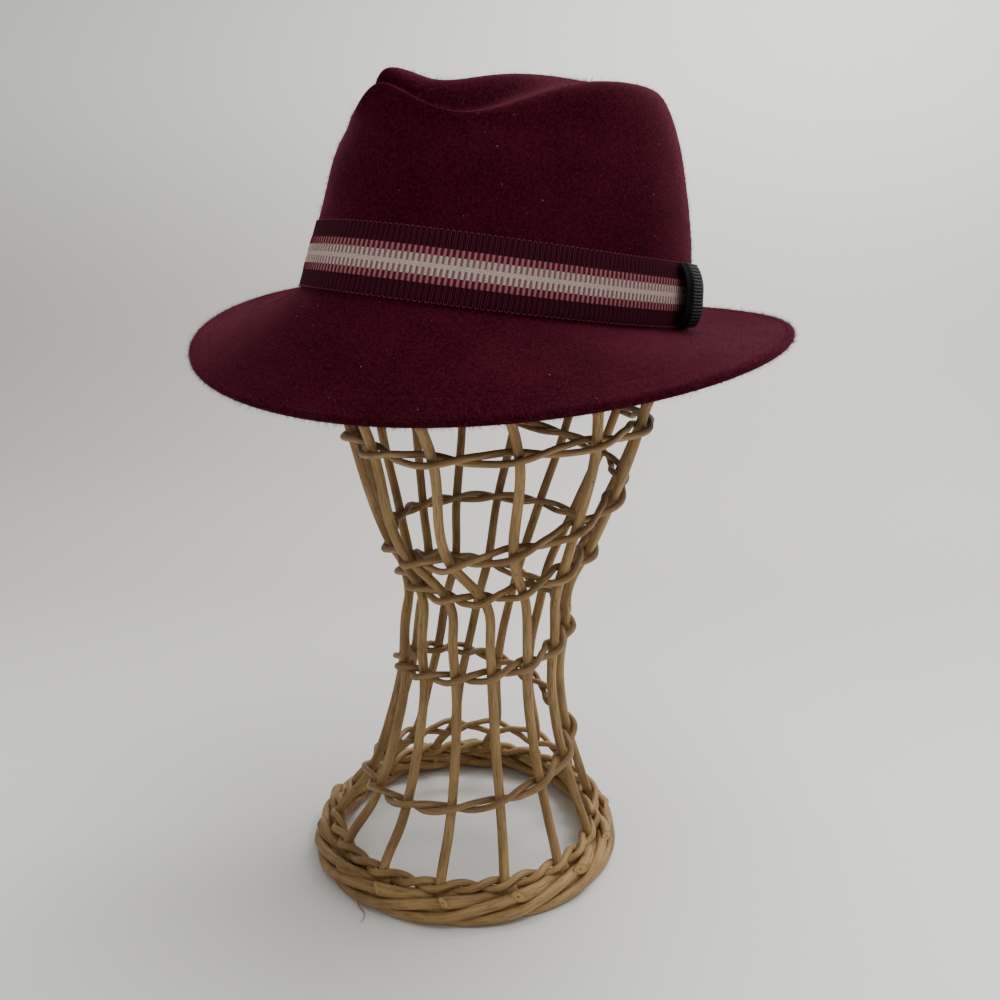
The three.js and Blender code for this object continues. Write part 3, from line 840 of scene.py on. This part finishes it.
def twisted(angles, heights, phase, waves, radius, past_stake):
    """A weaver's path and its directions out of the cage: in and out past the stakes by a cosine
    whose reach eases down to one rod's radius between them, and up and down by a sine, so that
    two weavers half a wave apart lie against each other."""
    point, out, up = cage_at(angles, heights)
    wave = waves * (angles - math.radians(STAKE_TURN)) + phase
    aside = np.cos(wave) * (radius + past_stake * np.abs(np.cos(wave)))
    upward = TWIST_SPREAD * radius * np.sin(wave)
    return point + out * aside[:, None] + up * upward[:, None], out


def woven(angles, heights, phase):
    """The path of one of the spiral's two weavers: half a wave from each stake to the next."""
    return twisted(angles, heights, phase, STAKES / 2, TWIST_RADIUS, STAKE_RADIUS)


def weave_height(turns):
    """The weave's height a number of turns from its start: the uniform Catmull-Rom curve through
    the heights at the quarter turns."""
    last = len(WEAVE_HEIGHTS) - 1
    i = np.clip(np.floor(turns * 4).astype(int), 0, last - 1)
    s = turns * 4 - i
    before, low = WEAVE_HEIGHTS[np.maximum(i - 1, 0)], WEAVE_HEIGHTS[i]
    high, after = WEAVE_HEIGHTS[i + 1], WEAVE_HEIGHTS[np.minimum(i + 2, last)]
    slope_low, slope_high = (high - before) / 2, (after - low) / 2
    bend = (2 * low - 2 * high + slope_low + slope_high) * s**3
    bend = bend + (3 * high - 3 * low - 2 * slope_low - slope_high) * s**2
    return SHOULDER_HEIGHT * (bend + slope_low * s + low)


# What a user may change

def color_property(name, description, default):
    """A colour that a user may change."""
    return FloatVectorProperty(name=name, description=description, subtype="COLOR", default=default,
                               min=0, max=1)


def length_property(name, description, default, high, low=0.0):
    """A length that a user may change, in metres."""
    return FloatProperty(name=name, description=description, default=default, min=low, max=high,
                         subtype="DISTANCE", unit="LENGTH")


class TrilbyHat(bpy.types.PropertyGroup):
    """The felt's colours and nap."""

    felt: color_property("Felt", "Colour of the felt", (0.036, 0.0016, 0.0066))
    fibres: IntProperty(name="Loose fibres", description="How many fibres stand off the felt",
                        default=44000, min=0, max=48000)
    fibre_length: length_property("Fibre length", "Usual length of a loose fibre", 0.0019, 0.005, 0.0002)
    hem_groove: length_property("Hem groove", "Depth of the line where the hem is sewn down", 0.00007,
                                0.001)


class TrilbyRibbons(bpy.types.PropertyGroup):
    """The colours and ribs of the band and its keeper."""

    ribs: IntProperty(name="Ribs", description="Ribs round the whole band", default=243, min=60, max=260)
    rib_relief: length_property("Rib relief", "How far a rib stands off the band", 0.0003, 0.0006)
    plum: color_property("Margins", "Colour of the margins", (0.032, 0.0028, 0.0085))
    plum_thread: color_property("Margin threads", "Colour of the raised threads", (0.15, 0.026, 0.05))
    crimson: color_property("Crimson", "Darkest colour of the stripe", (0.12, 0.005, 0.018))
    cream: color_property("Cream", "Palest colour of the stripe", (0.64, 0.56, 0.47))
    mauve: color_property("Mauve", "Inner colour between the ribs", (0.21, 0.105, 0.11))
    pale_mauve: color_property("Pale mauve", "Outer colour between the ribs", (0.27, 0.14, 0.145))
    loop: color_property("Loops", "Colour of the threads along the band's edges", (0.14, 0.022, 0.042))
    keeper: color_property("Keeper", "Colour of the black keeper", (0.004, 0.0055, 0.0075))
    keeper_ribs: IntProperty(name="Keeper ribs", description="Ribs across the keeper", default=20,
                             min=8, max=30)


class TrilbyStand(bpy.types.PropertyGroup):
    """The colours and rods of the stand."""

    honey: color_property("Honey", "Light colour of the rods", (0.41, 0.258, 0.097))
    brown: color_property("Brown", "Dark colour of the rods", (0.2, 0.108, 0.038))
    olive: color_property("Olive", "Light colour of the weavers", (0.37, 0.236, 0.1))
    wander: length_property("Wander", "How far a rod strays from its line", 0.0004, 0.0008)


class TrilbyStudio(bpy.types.PropertyGroup):
    """The studio round the object."""

    paper: color_property("Paper", "Colour of the floor and backdrop", (0.86, 0.855, 0.825))
    top_light: FloatProperty(name="Top light", description="Power of the soft light overhead",
                             default=19.0, min=0, max=200, unit="POWER")
    back_light: FloatProperty(name="Backdrop light", description="Power of the backdrop's own light",
                              default=40.0, min=0, max=200, unit="POWER")
    room: FloatProperty(name="Room light", description="Strength of the light from all round",
                        default=0.5, min=0, max=5)


# Operators

class TRILBY_OT_studio(bpy.types.Operator):
    """Make the camera, the paper floor that curves up into a backdrop, and the soft lights"""

    bl_idname = "trilby.studio"
    bl_label = "Studio"

    def execute(self, context):
        sizes = context.scene.trilby_studio
        place = (CAMERA_PLACE + FOOT) * MM
        camera = bpy.data.objects.new("camera", bpy.data.cameras.new("camera"))
        camera.data.sensor_width = SENSOR_WIDTH
        camera.data.lens = FOCAL_PIXELS / PHOTO_PIXELS * SENSOR_WIDTH
        camera.data.clip_start, camera.data.clip_end = 0.01, 50
        camera.location = place
        heading = math.atan2(-CAMERA_HEADING[0], CAMERA_HEADING[1])
        camera.rotation_euler = (math.radians(90 - CAMERA_DOWN), 0, heading)
        context.scene.collection.objects.link(camera)
        context.scene.camera = camera

        # The backdrop's profile: floor, a quarter round, and a wall, carried across the view
        back = np.array([*CAMERA_HEADING, 0.0])
        right = np.array([CAMERA_HEADING[1], -CAMERA_HEADING[0], 0.0])
        turn = np.linspace(0, math.pi / 2, 24)
        profile = np.concatenate([
            [(PAPER_FRONT, 0.0)],
            [PAPER_BACK, PAPER_BEND] + PAPER_BEND * circle(turn)[:, ::-1] * [1, -1],
            [(PAPER_BACK + PAPER_BEND, PAPER_TOP)],
        ])
        rows = profile[:, :1] * back + profile[:, 1:] * UP
        sides = np.array([-PAPER_SIDE, PAPER_SIDE])[:, None, None] * right
        points = (rows + sides + FOOT * [1, 1, 0]) * MM
        count = len(rows)
        low = np.arange(count - 1)
        quads = np.stack([low + count, low + 1 + count, low + 1, low], -1)
        mesh = bpy.data.meshes.new("paper")
        mesh.from_pydata(points.reshape(-1, 3), [], quads.tolist(), shade_flat=False)
        mesh.materials.append(paper_finish(sizes.paper))
        paper = bpy.data.objects.new("paper", mesh)
        context.scene.collection.objects.link(paper)

        # Each light's name, place, aim, width and power
        for name, spot, aim, width, power in (
            ("top_light", 0.35 * right + 0.1 * back + 1.2 * UP, 0.1 * UP, 1.3, sizes.top_light),
            ("back_light", 0.9 * right + 1.1 * back + 2.0 * UP, 0.7 * right + 2.1 * back + 0.9 * UP, 1.0,
             sizes.back_light),
        ):
            light = bpy.data.lights.new(name, "AREA")
            light.size, light.energy = width, power
            lamp = bpy.data.objects.new(name, light)
            lamp.location = spot
            x, y, z = aim - spot
            lamp.rotation_euler = (math.atan2(math.hypot(x, y), -z), 0, math.atan2(-x, y))
            context.scene.collection.objects.link(lamp)
        world = bpy.data.worlds.new("room")
        world.use_nodes = True
        air = world.node_tree.nodes["Background"].inputs
        air["Color"].default_value = (1.0, 1.0, 0.99, 1)
        air["Strength"].default_value = sizes.room
        context.scene.world = world
        return {"FINISHED"}


def felt_grid(groove):
    """The felt's whole surface: over the crown, out along the brim, round the hem's edge as a half
    circle, and back underneath, a wall's thickness in. The turn from the crown to the brim is a
    quadratic Bezier, the seam's groove a Gaussian of the distance from it. Gives the upper side,
    the edge, the lower side and the outward directions of the upper side."""
    t = np.arange(FELT_COLUMNS) * FULL_TURN / FELT_COLUMNS
    top = BREAK_REACH + BAND_WIDTH
    band_top = level_at_height(t, top)
    crown_share = np.linspace(0, 1, 96)[1:, None]
    crown = crown_point(t[None], 1 + (band_top - 1) * crown_share)
    heights = np.linspace(top, BREAK_REACH, 8)[1:, None]
    under_band = crown_point(t[None], level_at_height(t[None], heights))
    low, middle, out = under_band[-1], crown_point(t, 0 * t), brim_point(t, BREAK_REACH)
    s = np.linspace(0, 1, 7)[1:-1, None, None]
    turn = (1 - s) ** 2 * low + 2 * s * (1 - s) * middle + s**2 * out
    width = BRIM_WIDTH * brim_value(0, t) - HEM_WALL / 2
    hem = width - HEM_WIDTH
    flat = BREAK_REACH + (hem - SEAM_STRIP - BREAK_REACH) * np.linspace(0, 1, 34)[:, None]
    sewn = hem - SEAM_STRIP + 2 * SEAM_STRIP * np.linspace(0, 1, 15)[1:, None]
    edge = hem + SEAM_STRIP + (width - hem - SEAM_STRIP) * np.linspace(0, 1, 9)[1:, None]
    distance = np.concatenate([flat, sewn, edge])
    upper = np.concatenate([crown, under_band, turn, brim_point(t[None], distance)])
    wall = np.full(upper.shape[:2], FELT_WALL)
    folded = ramp(distance - hem, 0, HEM_WALL - FELT_WALL)
    wall[-len(distance):] += (HEM_WALL - FELT_WALL) * folded
    round_it = np.roll(upper, -1, 1) - np.roll(upper, 1, 1)
    down = np.gradient(upper, axis=0)
    normal = unit(np.cross(down, round_it))
    relief = np.zeros(upper.shape[:2])
    seam = np.exp(-(((distance - hem) / SEAM_SPREAD) ** 2))
    relief[-len(distance):] = FOLD_RELIEF * folded - groove * seam
    lower = upper - normal * wall[..., None]
    raised = upper + normal * relief[..., None]
    rim = upper[-1] - normal[-1] * HEM_WALL / 2
    out_way = unit(down[-1])
    turn_angle = np.linspace(0, math.pi, 10)[1:-1, None, None]
    edge_rows = rim + HEM_WALL / 2 * (normal[-1] * np.cos(turn_angle) + out_way * np.sin(turn_angle))
    return raised, edge_rows, lower, normal


class TRILBY_OT_felt(bpy.types.Operator):
    """Make the felt: one smooth closed body with its folded and sewn hem"""

    bl_idname = "trilby.felt"
    bl_label = "Felt"

    def execute(self, context):
        sizes = context.scene.trilby_hat
        raised, edge_rows, lower, _ = felt_grid(sizes.hem_groove / MM)
        rows = np.concatenate([raised, edge_rows, lower[::-2]])
        crease = crown_point(0, 1)
        points = np.concatenate([rows.reshape(-1, 3), [crease, crease - FELT_WALL * UP]])
        shape = Shape()
        shape.add(on_stand(points), grid_faces(len(rows), FELT_COLUMNS),
                  end_fans(len(rows) * FELT_COLUMNS, FELT_COLUMNS))
        piece = shape.build("felt", felt_finish(sizes.felt), "felt")
        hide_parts("felt_body")
        return {"FINISHED"}


class TRILBY_OT_nap(bpy.types.Operator):
    """Make the loose fibres that stand off the felt, each a fine needle"""

    bl_idname = "trilby.nap"
    bl_label = "Nap"

    def execute(self, context):
        sizes = context.scene.trilby_hat
        raised, edge_rows, lower, normal = felt_grid(0)
        rows = np.concatenate([raised, edge_rows])
        ways = np.concatenate([normal, unit(edge_rows - (raised[-1] + lower[-1]) / 2)])
        dice = np.random.default_rng(7)
        count = sizes.fibres

        # A fibre starts anywhere on the surface, in a cell drawn by its area, and more at the edge
        across = np.linalg.norm(np.roll(rows, -1, 1) - rows, axis=-1)[:-1]
        area = across * np.linalg.norm(np.diff(rows, axis=0), axis=-1)
        area[-EDGE_ROWS:] *= EDGE_CROWD
        cells = dice.choice(area.size, count, p=(area / area.sum()).ravel())
        row, column = np.divmod(cells, FELT_COLUMNS)
        a, b = dice.random((2, count, 1))
        beside = (column + 1) % FELT_COLUMNS
        start = (rows[row, column] * (1 - a) + rows[row, beside] * a) * (1 - b)
        start = start + (rows[row + 1, column] * (1 - a) + rows[row + 1, beside] * a) * b

        # It leans from the outward direction, and is a needle on a three-sided foot
        out = unit(ways[row, column])
        stray = unit(dice.normal(size=(count, 3)))
        lie = unit(stray - out * (stray * out).sum(1, keepdims=True))
        length = sizes.fibre_length / MM * np.exp(dice.normal(-0.1, 0.5, (count, 1)))
        lift = dice.uniform(*FIBRE_LIFT, (count, 1))
        tip = start + np.minimum(length, LONGEST_FIBRE) * unit(out * lift + lie)
        thick = dice.uniform(*FIBRE_RADIUS, (count, 1, 1))
        corners = circle(np.arange(3) * FULL_TURN / 3)[..., None]
        ring = out[:, None] * corners[:, 0] + np.cross(out, lie)[:, None] * corners[:, 1]
        points = np.concatenate([(start - out * FIBRE_ROOT)[:, None] + ring * thick, tip[:, None]], 1)
        first = np.arange(count)[:, None, None] * 4
        triangles = (first + np.array([(0, 1, 3), (1, 2, 3), (2, 0, 3), (0, 2, 1)])).reshape(-1, 3)
        shape = Shape()
        shape.add(on_stand(points.reshape(-1, 3)), np.zeros((0, 4), int), triangles)

        # A few long stray hairs lie curled on the front of the brim
        share = np.linspace(0, 1, 24)
        for start_angle, start_distance, turn in STRAY_HAIRS:
            t = math.radians(start_angle) + math.radians(turn) * share
            distance = start_distance + sum(reach * np.sin(share * waves) for reach, waves in HAIR_CURLS)
            path = brim_point(t, distance) + HAIR_LIFT * UP
            rings, _ = rod_rings(path, np.broadcast_to(UP, path.shape), HAIR_RADIUS, 5)
            shape.tube(on_stand(rings))
        shape.build("felt_nap", nap_finish(sizes.felt), "felt")
        return {"FINISHED"}


class TRILBY_OT_band(bpy.types.Operator):
    """Make the ribbon band with its ribs, and the looped threads along its two edges"""

    bl_idname = "trilby.band"
    bl_label = "Band"

    def execute(self, context):
        sizes = context.scene.trilby_ribbons
        relief = sizes.rib_relief / MM
        # Angles at even distances round the band, from the keeper round to itself; u counts ribs
        fine = np.linspace(0, FULL_TURN, 3001) + math.radians(KEEPER_ANGLE)
        line = off_crown(fine, BREAK_REACH + BAND_WIDTH / 2, np.zeros(fine.shape))
        run = run_along(line)
        count = sizes.ribs * RIB_STEPS
        u = np.arange(count) / RIB_STEPS
        t = np.interp(u / sizes.ribs * run[-1], run, fine)
        v = BAND_ROWS[:, None]
        place = u % 1
        in_stripe = 1 - ramp(np.abs(v - 0.5), STRIPE_HALF, STRIPE_HALF + COLUMN_FADE)
        centre = 1 - ramp(np.abs(v - 0.5), CENTRE_HALF, CENTRE_HALF + COLUMN_FADE)
        first = np.sin(math.pi * np.clip(place / COLUMN_END, 0, 1))
        second = np.sin(math.pi * np.clip((place - COLUMN_END) / (1 - COLUMN_END), 0, 1))
        legs = np.exp(-(((np.abs(place - 0.5) - LEG_OFFSET) / 0.09) ** 2))
        in_columns = (1 - centre) * np.maximum(first, 0.6 * second) + centre * 0.5
        rise = relief * (in_stripe * in_columns + (1 - in_stripe) * legs * 0.35)
        edge = ramp(np.minimum(v, 1 - v), 0, 0.02)
        outside = RIBBON_GAP + BAND_WALL - BAND_SKIN + (rise - RIB_ROOT) * edge
        height = BREAK_REACH + BAND_WIDTH * v
        front = off_crown(t[None], height, outside * (0.55 + 0.45 * edge))
        back_v = np.array([[1.0], [0.5], [0.0]])
        back = off_crown(t[None], BREAK_REACH + BAND_WIDTH * back_v, np.full((3, count), RIBBON_GAP * 0.6))
        rings = np.concatenate([front, back])
        rows = np.concatenate([v, back_v])
        marks = np.stack(np.broadcast_arrays(u[None], rows, 0.0), -1)
        shape = Shape()
        shape.tube(on_stand(rings), marks, True)
        piece = shape.build("band", ribbon_finish(sizes), "grosgrain", "weave")
        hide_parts("ribbon_band")

        # The loops: a half circle of thread over each rib, at both edges
        loops = Shape()
        turn = np.linspace(0, math.pi, 7)
        middle_u = np.arange(sizes.ribs) + 0.5
        for edge_v, way in ((1.0, 1.0), (0.0, -1.0)):
            loop_u = middle_u[:, None] - LEG_OFFSET * np.cos(turn)
            loop_t = np.interp(loop_u / sizes.ribs * run[-1], run, fine)
            rise = way * (LOOP_REACH * np.sin(turn) - LOOP_ROOT)
            loop_height = BREAK_REACH + BAND_WIDTH * edge_v + rise
            path = off_crown(loop_t, loop_height, np.full(loop_t.shape, LOOP_OFFSET))
            side = crown_normal(loop_t, level_at_height(loop_t, loop_height))
            direction = unit(np.gradient(path, axis=1))
            up = np.cross(direction, side)
            corners = circle(np.arange(4) * FULL_TURN / 4)[..., None]
            spread = side[..., None, :] * corners[:, 0] + up[..., None, :] * corners[:, 1]
            rings = path[..., None, :] + LOOP_RADIUS * spread
            steps, sides = rings.shape[1:3]
            first = (np.arange(sizes.ribs) * steps * sides)[:, None, None]
            quads = (first + grid_faces(steps, sides)[None]).reshape(-1, 4)
            ends = np.array([(0, 1, 2, 3), (3, 2, 1, 0)]) + np.array([[0], [(steps - 1) * sides]])
            caps = (first + ends[None]).reshape(-1, 4)
            body = np.concatenate([quads, caps[:, ::-1]])
            loops.add(on_stand(rings.reshape(-1, 3)), body)
        loops.build("band_loops", thread_finish(sizes.loop), "grosgrain")
        return {"FINISHED"}


class TRILBY_OT_keeper(bpy.types.Operator):
    """Make the black ribbed keeper that arches over the band"""

    bl_idname = "trilby.keeper"
    bl_label = "Keeper"

    def execute(self, context):
        sizes = context.scene.trilby_ribbons
        seat = RIBBON_GAP * 2 + BAND_WALL
        arch = np.concatenate([KEEPER_ARCH, np.zeros((len(KEEPER_ARCH), 1))], 1)
        arch[:, 0] *= BAND_WIDTH
        arch[:, 1] *= KEEPER_RISE
        line = smooth_line(arch, 40)[:, :2]
        run = run_along(line)
        steps = sizes.keeper_ribs * 8
        s = np.linspace(0, 1, steps + 1)
        down, rise = (np.interp(s * run[-1], run, line[:, k]) for k in (0, 1))
        slope = unit(np.stack([np.gradient(down), np.gradient(rise)], -1))
        middle = math.radians(KEEPER_ANGLE)
        per_radian = np.linalg.norm(crown_point(middle + 0.5, 0) - crown_point(middle - 0.5, 0))
        half_angle = KEEPER_WIDTH / 2 / per_radian
        # Its side towards the hat's front folds in, past the ribbed face, to meet the band
        across = np.linspace(KEEPER_FOLD, 1, 38)
        rib = np.abs(np.sin(math.pi * s * sizes.keeper_ribs)) ** 0.7
        edge = ramp(np.minimum(across - KEEPER_FOLD, 1 - across), 0, 0.08)
        fold = 1 - ramp(across, KEEPER_FOLD, KEEPER_FOLD_END)
        # The ring goes over the outside from one side to the other and back under the inside
        ribbed = KEEPER_RIB_RELIEF * rib[:, None] * edge * (fold < 0.3)
        outer_wall = KEEPER_WALL - KEEPER_FACE + ribbed
        outer_wall = outer_wall - KEEPER_EDGE_DROP * (1 - edge) - KEEPER_FOLD_DROP * fold
        inner_wall = np.full((steps + 1, 9), KEEPER_INSIDE)
        wall = np.concatenate([outer_wall, inner_wall], 1)
        width = np.concatenate([across, np.linspace(1, KEEPER_FOLD, 11)[1:-1]])
        place = down[:, None] + slope[:, 1:] * -wall * 0.6
        offset = seat + rise[:, None] + wall * slope[:, :1]
        height = np.clip(BREAK_REACH + BAND_WIDTH - place, 0.2, None)
        t = middle + half_angle * np.broadcast_to(width, height.shape)
        rings = off_crown(t, height, offset)
        relief = np.concatenate([rib[:, None] * edge, inner_wall * 0], 1)
        marks = np.stack(np.broadcast_arrays(width[None], s[:, None] * sizes.keeper_ribs, relief), -1)
        shape = Shape()
        shape.tube(on_stand(rings), marks)
        piece = shape.build("keeper", grosgrain_finish(sizes.keeper), "black_grosgrain", "weave")
        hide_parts("ribbon_keeper")
        return {"FINISHED"}


class TRILBY_OT_stakes(bpy.types.Operator):
    """Make the upright rods of the cage"""

    bl_idname = "trilby.stakes"
    bl_label = "Stakes"

    def execute(self, context):
        sizes = context.scene.trilby_stand
        finish = willow_finish("willow_rod", sizes.honey, sizes.brown)
        angles = np.arange(STAKES) * FULL_TURN / STAKES + math.radians(STAKE_TURN)
        lines = cage_lines(angles)
        dice = np.random.default_rng(3)
        for i, angle in enumerate(angles):
            path = lines[i]
            run = run_along(path)
            side = np.broadcast_to([-math.sin(angle), math.cos(angle), 0], path.shape)
            # It sways most above the foot, and not at all at the foot and under the hat
            held = ramp(run, 5, 30) * (1 - ramp(run, 150, 240))
            sway = sizes.wander / MM * held * np.sin(run / dice.uniform(22, 40) + dice.uniform(0, 6))
            radius = STAKE_RADIUS * (1.02 - STAKE_TAPER * run / run[-1])
            radius = radius * (1 + 0.03 * np.sin(run / dice.uniform(9, 15) + dice.uniform(0, 6)))
            shape = Shape()
            shape.rod(path + side * sway[:, None], side, radius, 14, i * 331.0)
            piece = shape.build(f"stake_rod_{i + 1:02d}", finish, "willow")
            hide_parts(f"stake_{i + 1:02d}")
        return {"FINISHED"}


class TRILBY_OT_weavers(bpy.types.Operator):
    """Make the twisted pairs of thin rods that bind the stakes"""

    bl_idname = "trilby.weavers"
    bl_label = "Weavers"

    def execute(self, context):
        sizes = context.scene.trilby_stand
        finish = willow_finish("split_willow_rod", sizes.olive, shaded(sizes.brown, 0.92), 0.9, False)
        turns = np.linspace(0, WEAVE_TURNS, WEAVE_TURNS * TURN_STEPS + 1)
        angles = math.radians(WEAVE_START) + FULL_TURN * turns
        for pair, phase in enumerate((0, math.pi)):
            letter = "ab"[pair]
            path, out = woven(angles, weave_height(turns), phase)
            swell = 1 + 0.05 * np.sin(turns * FULL_TURN * 5.3 + pair)
            rings, marks = rod_rings(path, out, TWIST_RADIUS * swell, 10)
            marks = marks + pair * 5170.0 * UP
            for turn in range(WEAVE_TURNS):
                part = slice(turn * TURN_STEPS, (turn + 1) * TURN_STEPS + 1)
                shape = Shape()
                shape.tube(rings[part], marks[part])
                piece = shape.build(f"twist_{turn + 1}_{letter}", finish, "split_willow")
                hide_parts(f"row_{turn + 1}_weaver_{letter}")
        return {"FINISHED"}


class TRILBY_OT_foot(bpy.types.Operator):
    """Make the rolled foot of the stand: its bent rods, their cut ends and the twisted row above"""

    bl_idname = "trilby.foot"
    bl_label = "Foot"

    def execute(self, context):
        sizes = context.scene.trilby_stand
        finish = willow_finish("foot_rod", sizes.honey, sizes.brown)
        dice = np.random.default_rng(11)

        def laid(table, start, stray):
            """A smooth path through a rod's table, moved round by a random stray, and its sides."""
            table = smooth_line(table, 4)
            table[:, 0] += dice.uniform(-stray, stray)
            angle = start + table[:, 0] * FULL_TURN / STAKES
            path = smooth_line(np.column_stack([table[:, 1:2] * circle(angle), table[:, 2]]), 3)
            return path, unit(path * [1, 1, 0])

        rolled, cut, twist = Shape(), Shape(), Shape()
        for i in range(STAKES):
            start = i * FULL_TURN / STAKES + math.radians(STAKE_TURN)
            path, side = laid(ROLLED_ROD, start, ROLLED_STRAY)
            radius = ROLLED_RADIUS * (1 + dice.uniform(-0.04, 0.02)) * np.linspace(1, 0.9, len(path))
            path[:, 2] = np.maximum(path[:, 2], radius + 0.05)
            rolled.rod(path, side, radius, 12, i * 211.0)
            path, side = laid(CUT_END, start, CUT_STRAY)
            rings, marks = cut_rod(path, side, CUT_RADIUS * (1 + dice.uniform(-0.06, 0.05)), 16)
            cut.tube(rings, marks + i * 97.0 * UP)
        path = smooth_line(SPLINTER, 6)
        cut.rod(path, np.broadcast_to(UP, path.shape), np.linspace(0.4, 0.12, len(path)), 6)
        angle = np.arange(96) * FULL_TURN / 96
        core = np.column_stack([CORE_RADIUS * circle(angle), np.full(96, CORE_HEIGHT)])
        rolled.rod(core, unit(core * [1, 1, 0]), CORE_ROD, 12, 0, True)
        piece = rolled.build("foot_rods", finish, "willow")
        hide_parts("border")
        cut.build("foot_cut_ends", willow_finish("cut_rod", sizes.honey, sizes.brown, faces=True), "willow")
        for pair, phase in enumerate((0, math.pi)):
            path, out = twisted(np.arange(630) * FULL_TURN / 630, FOOT_ROW_HEIGHT, phase, FOOT_WAVES,
                                FOOT_ROW_REACH, FOOT_ROW_PAST_STAKE)
            twist.rod(path, out, FOOT_ROW_RADIUS, 10, pair * 700.0, True)
            # The weave's own first turn climbs out of this row
            share = np.linspace(0, 1, 130)
            angles = math.radians(WEAVE_START) - FULL_TURN * WEAVE_LEAD * (1 - share)
            climb = (weave_height(np.zeros(1)) - LEAD_HEIGHT) * ramp(share, -0.3, 1)
            path, out = woven(angles, LEAD_HEIGHT + climb, phase)
            twist.rod(path, out, TWIST_RADIUS, 10, pair * 900.0)
        twist.build("foot_twist", finish, "willow")
        return {"FINISHED"}


class TRILBY_OT_cap(bpy.types.Operator):
    """Give the small wooden cap under the crown its sawn finish"""

    bl_idname = "trilby.cap"
    bl_label = "Cap"

    def execute(self, context):
        sizes = context.scene.trilby_stand
        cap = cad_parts["cap"]
        finish = cap_finish(sizes.honey)
        if not cap.material_slots:
            cap.data.materials.append(finish)
        for material_slot in cap.material_slots:
            material_slot.material = finish
        return {"FINISHED"}


STEPS = (
    (TRILBY_OT_studio, "trilby_studio"),
    (TRILBY_OT_felt, "trilby_hat"),
    (TRILBY_OT_nap, None),
    (TRILBY_OT_band, "trilby_ribbons"),
    (TRILBY_OT_keeper, None),
    (TRILBY_OT_stakes, "trilby_stand"),
    (TRILBY_OT_weavers, None),
    (TRILBY_OT_foot, None),
    (TRILBY_OT_cap, None),
)
GROUPS = {
    "trilby_hat": TrilbyHat,
    "trilby_ribbons": TrilbyRibbons,
    "trilby_stand": TrilbyStand,
    "trilby_studio": TrilbyStudio,
}


class TRILBY_PT_panel(bpy.types.Panel):
    """Lists the steps that make the hat and its stand"""

    bl_idname = "TRILBY_PT_panel"
    bl_label = "Felt Trilby"
    bl_space_type = "VIEW_3D"
    bl_region_type = "UI"
    bl_category = "Trilby"

    def draw(self, context):
        for operator, group in STEPS:
            box = self.layout.box()
            box.operator(operator.bl_idname)
            if group:
                values = getattr(context.scene, group)
                for name in values.__annotations__:
                    box.prop(values, name)


def classes():
    return (*GROUPS.values(), *(operator for operator, _ in STEPS), TRILBY_PT_panel)


def register():
    for made in classes():
        bpy.utils.register_class(made)
    for name, group in GROUPS.items():
        setattr(bpy.types.Scene, name, PointerProperty(type=group))


def unregister():
    for name in GROUPS:
        delattr(bpy.types.Scene, name)
    for made in reversed(classes()):
        bpy.utils.unregister_class(made)


def main():
    register()
    bpy.ops.trilby.studio()
    bpy.ops.trilby.felt()
    bpy.ops.trilby.nap()
    bpy.ops.trilby.band()
    bpy.ops.trilby.keeper()
    bpy.ops.trilby.stakes()
    bpy.ops.trilby.weavers()
    bpy.ops.trilby.foot()
    bpy.ops.trilby.cap()


if __name__ == "__main__":
    main()
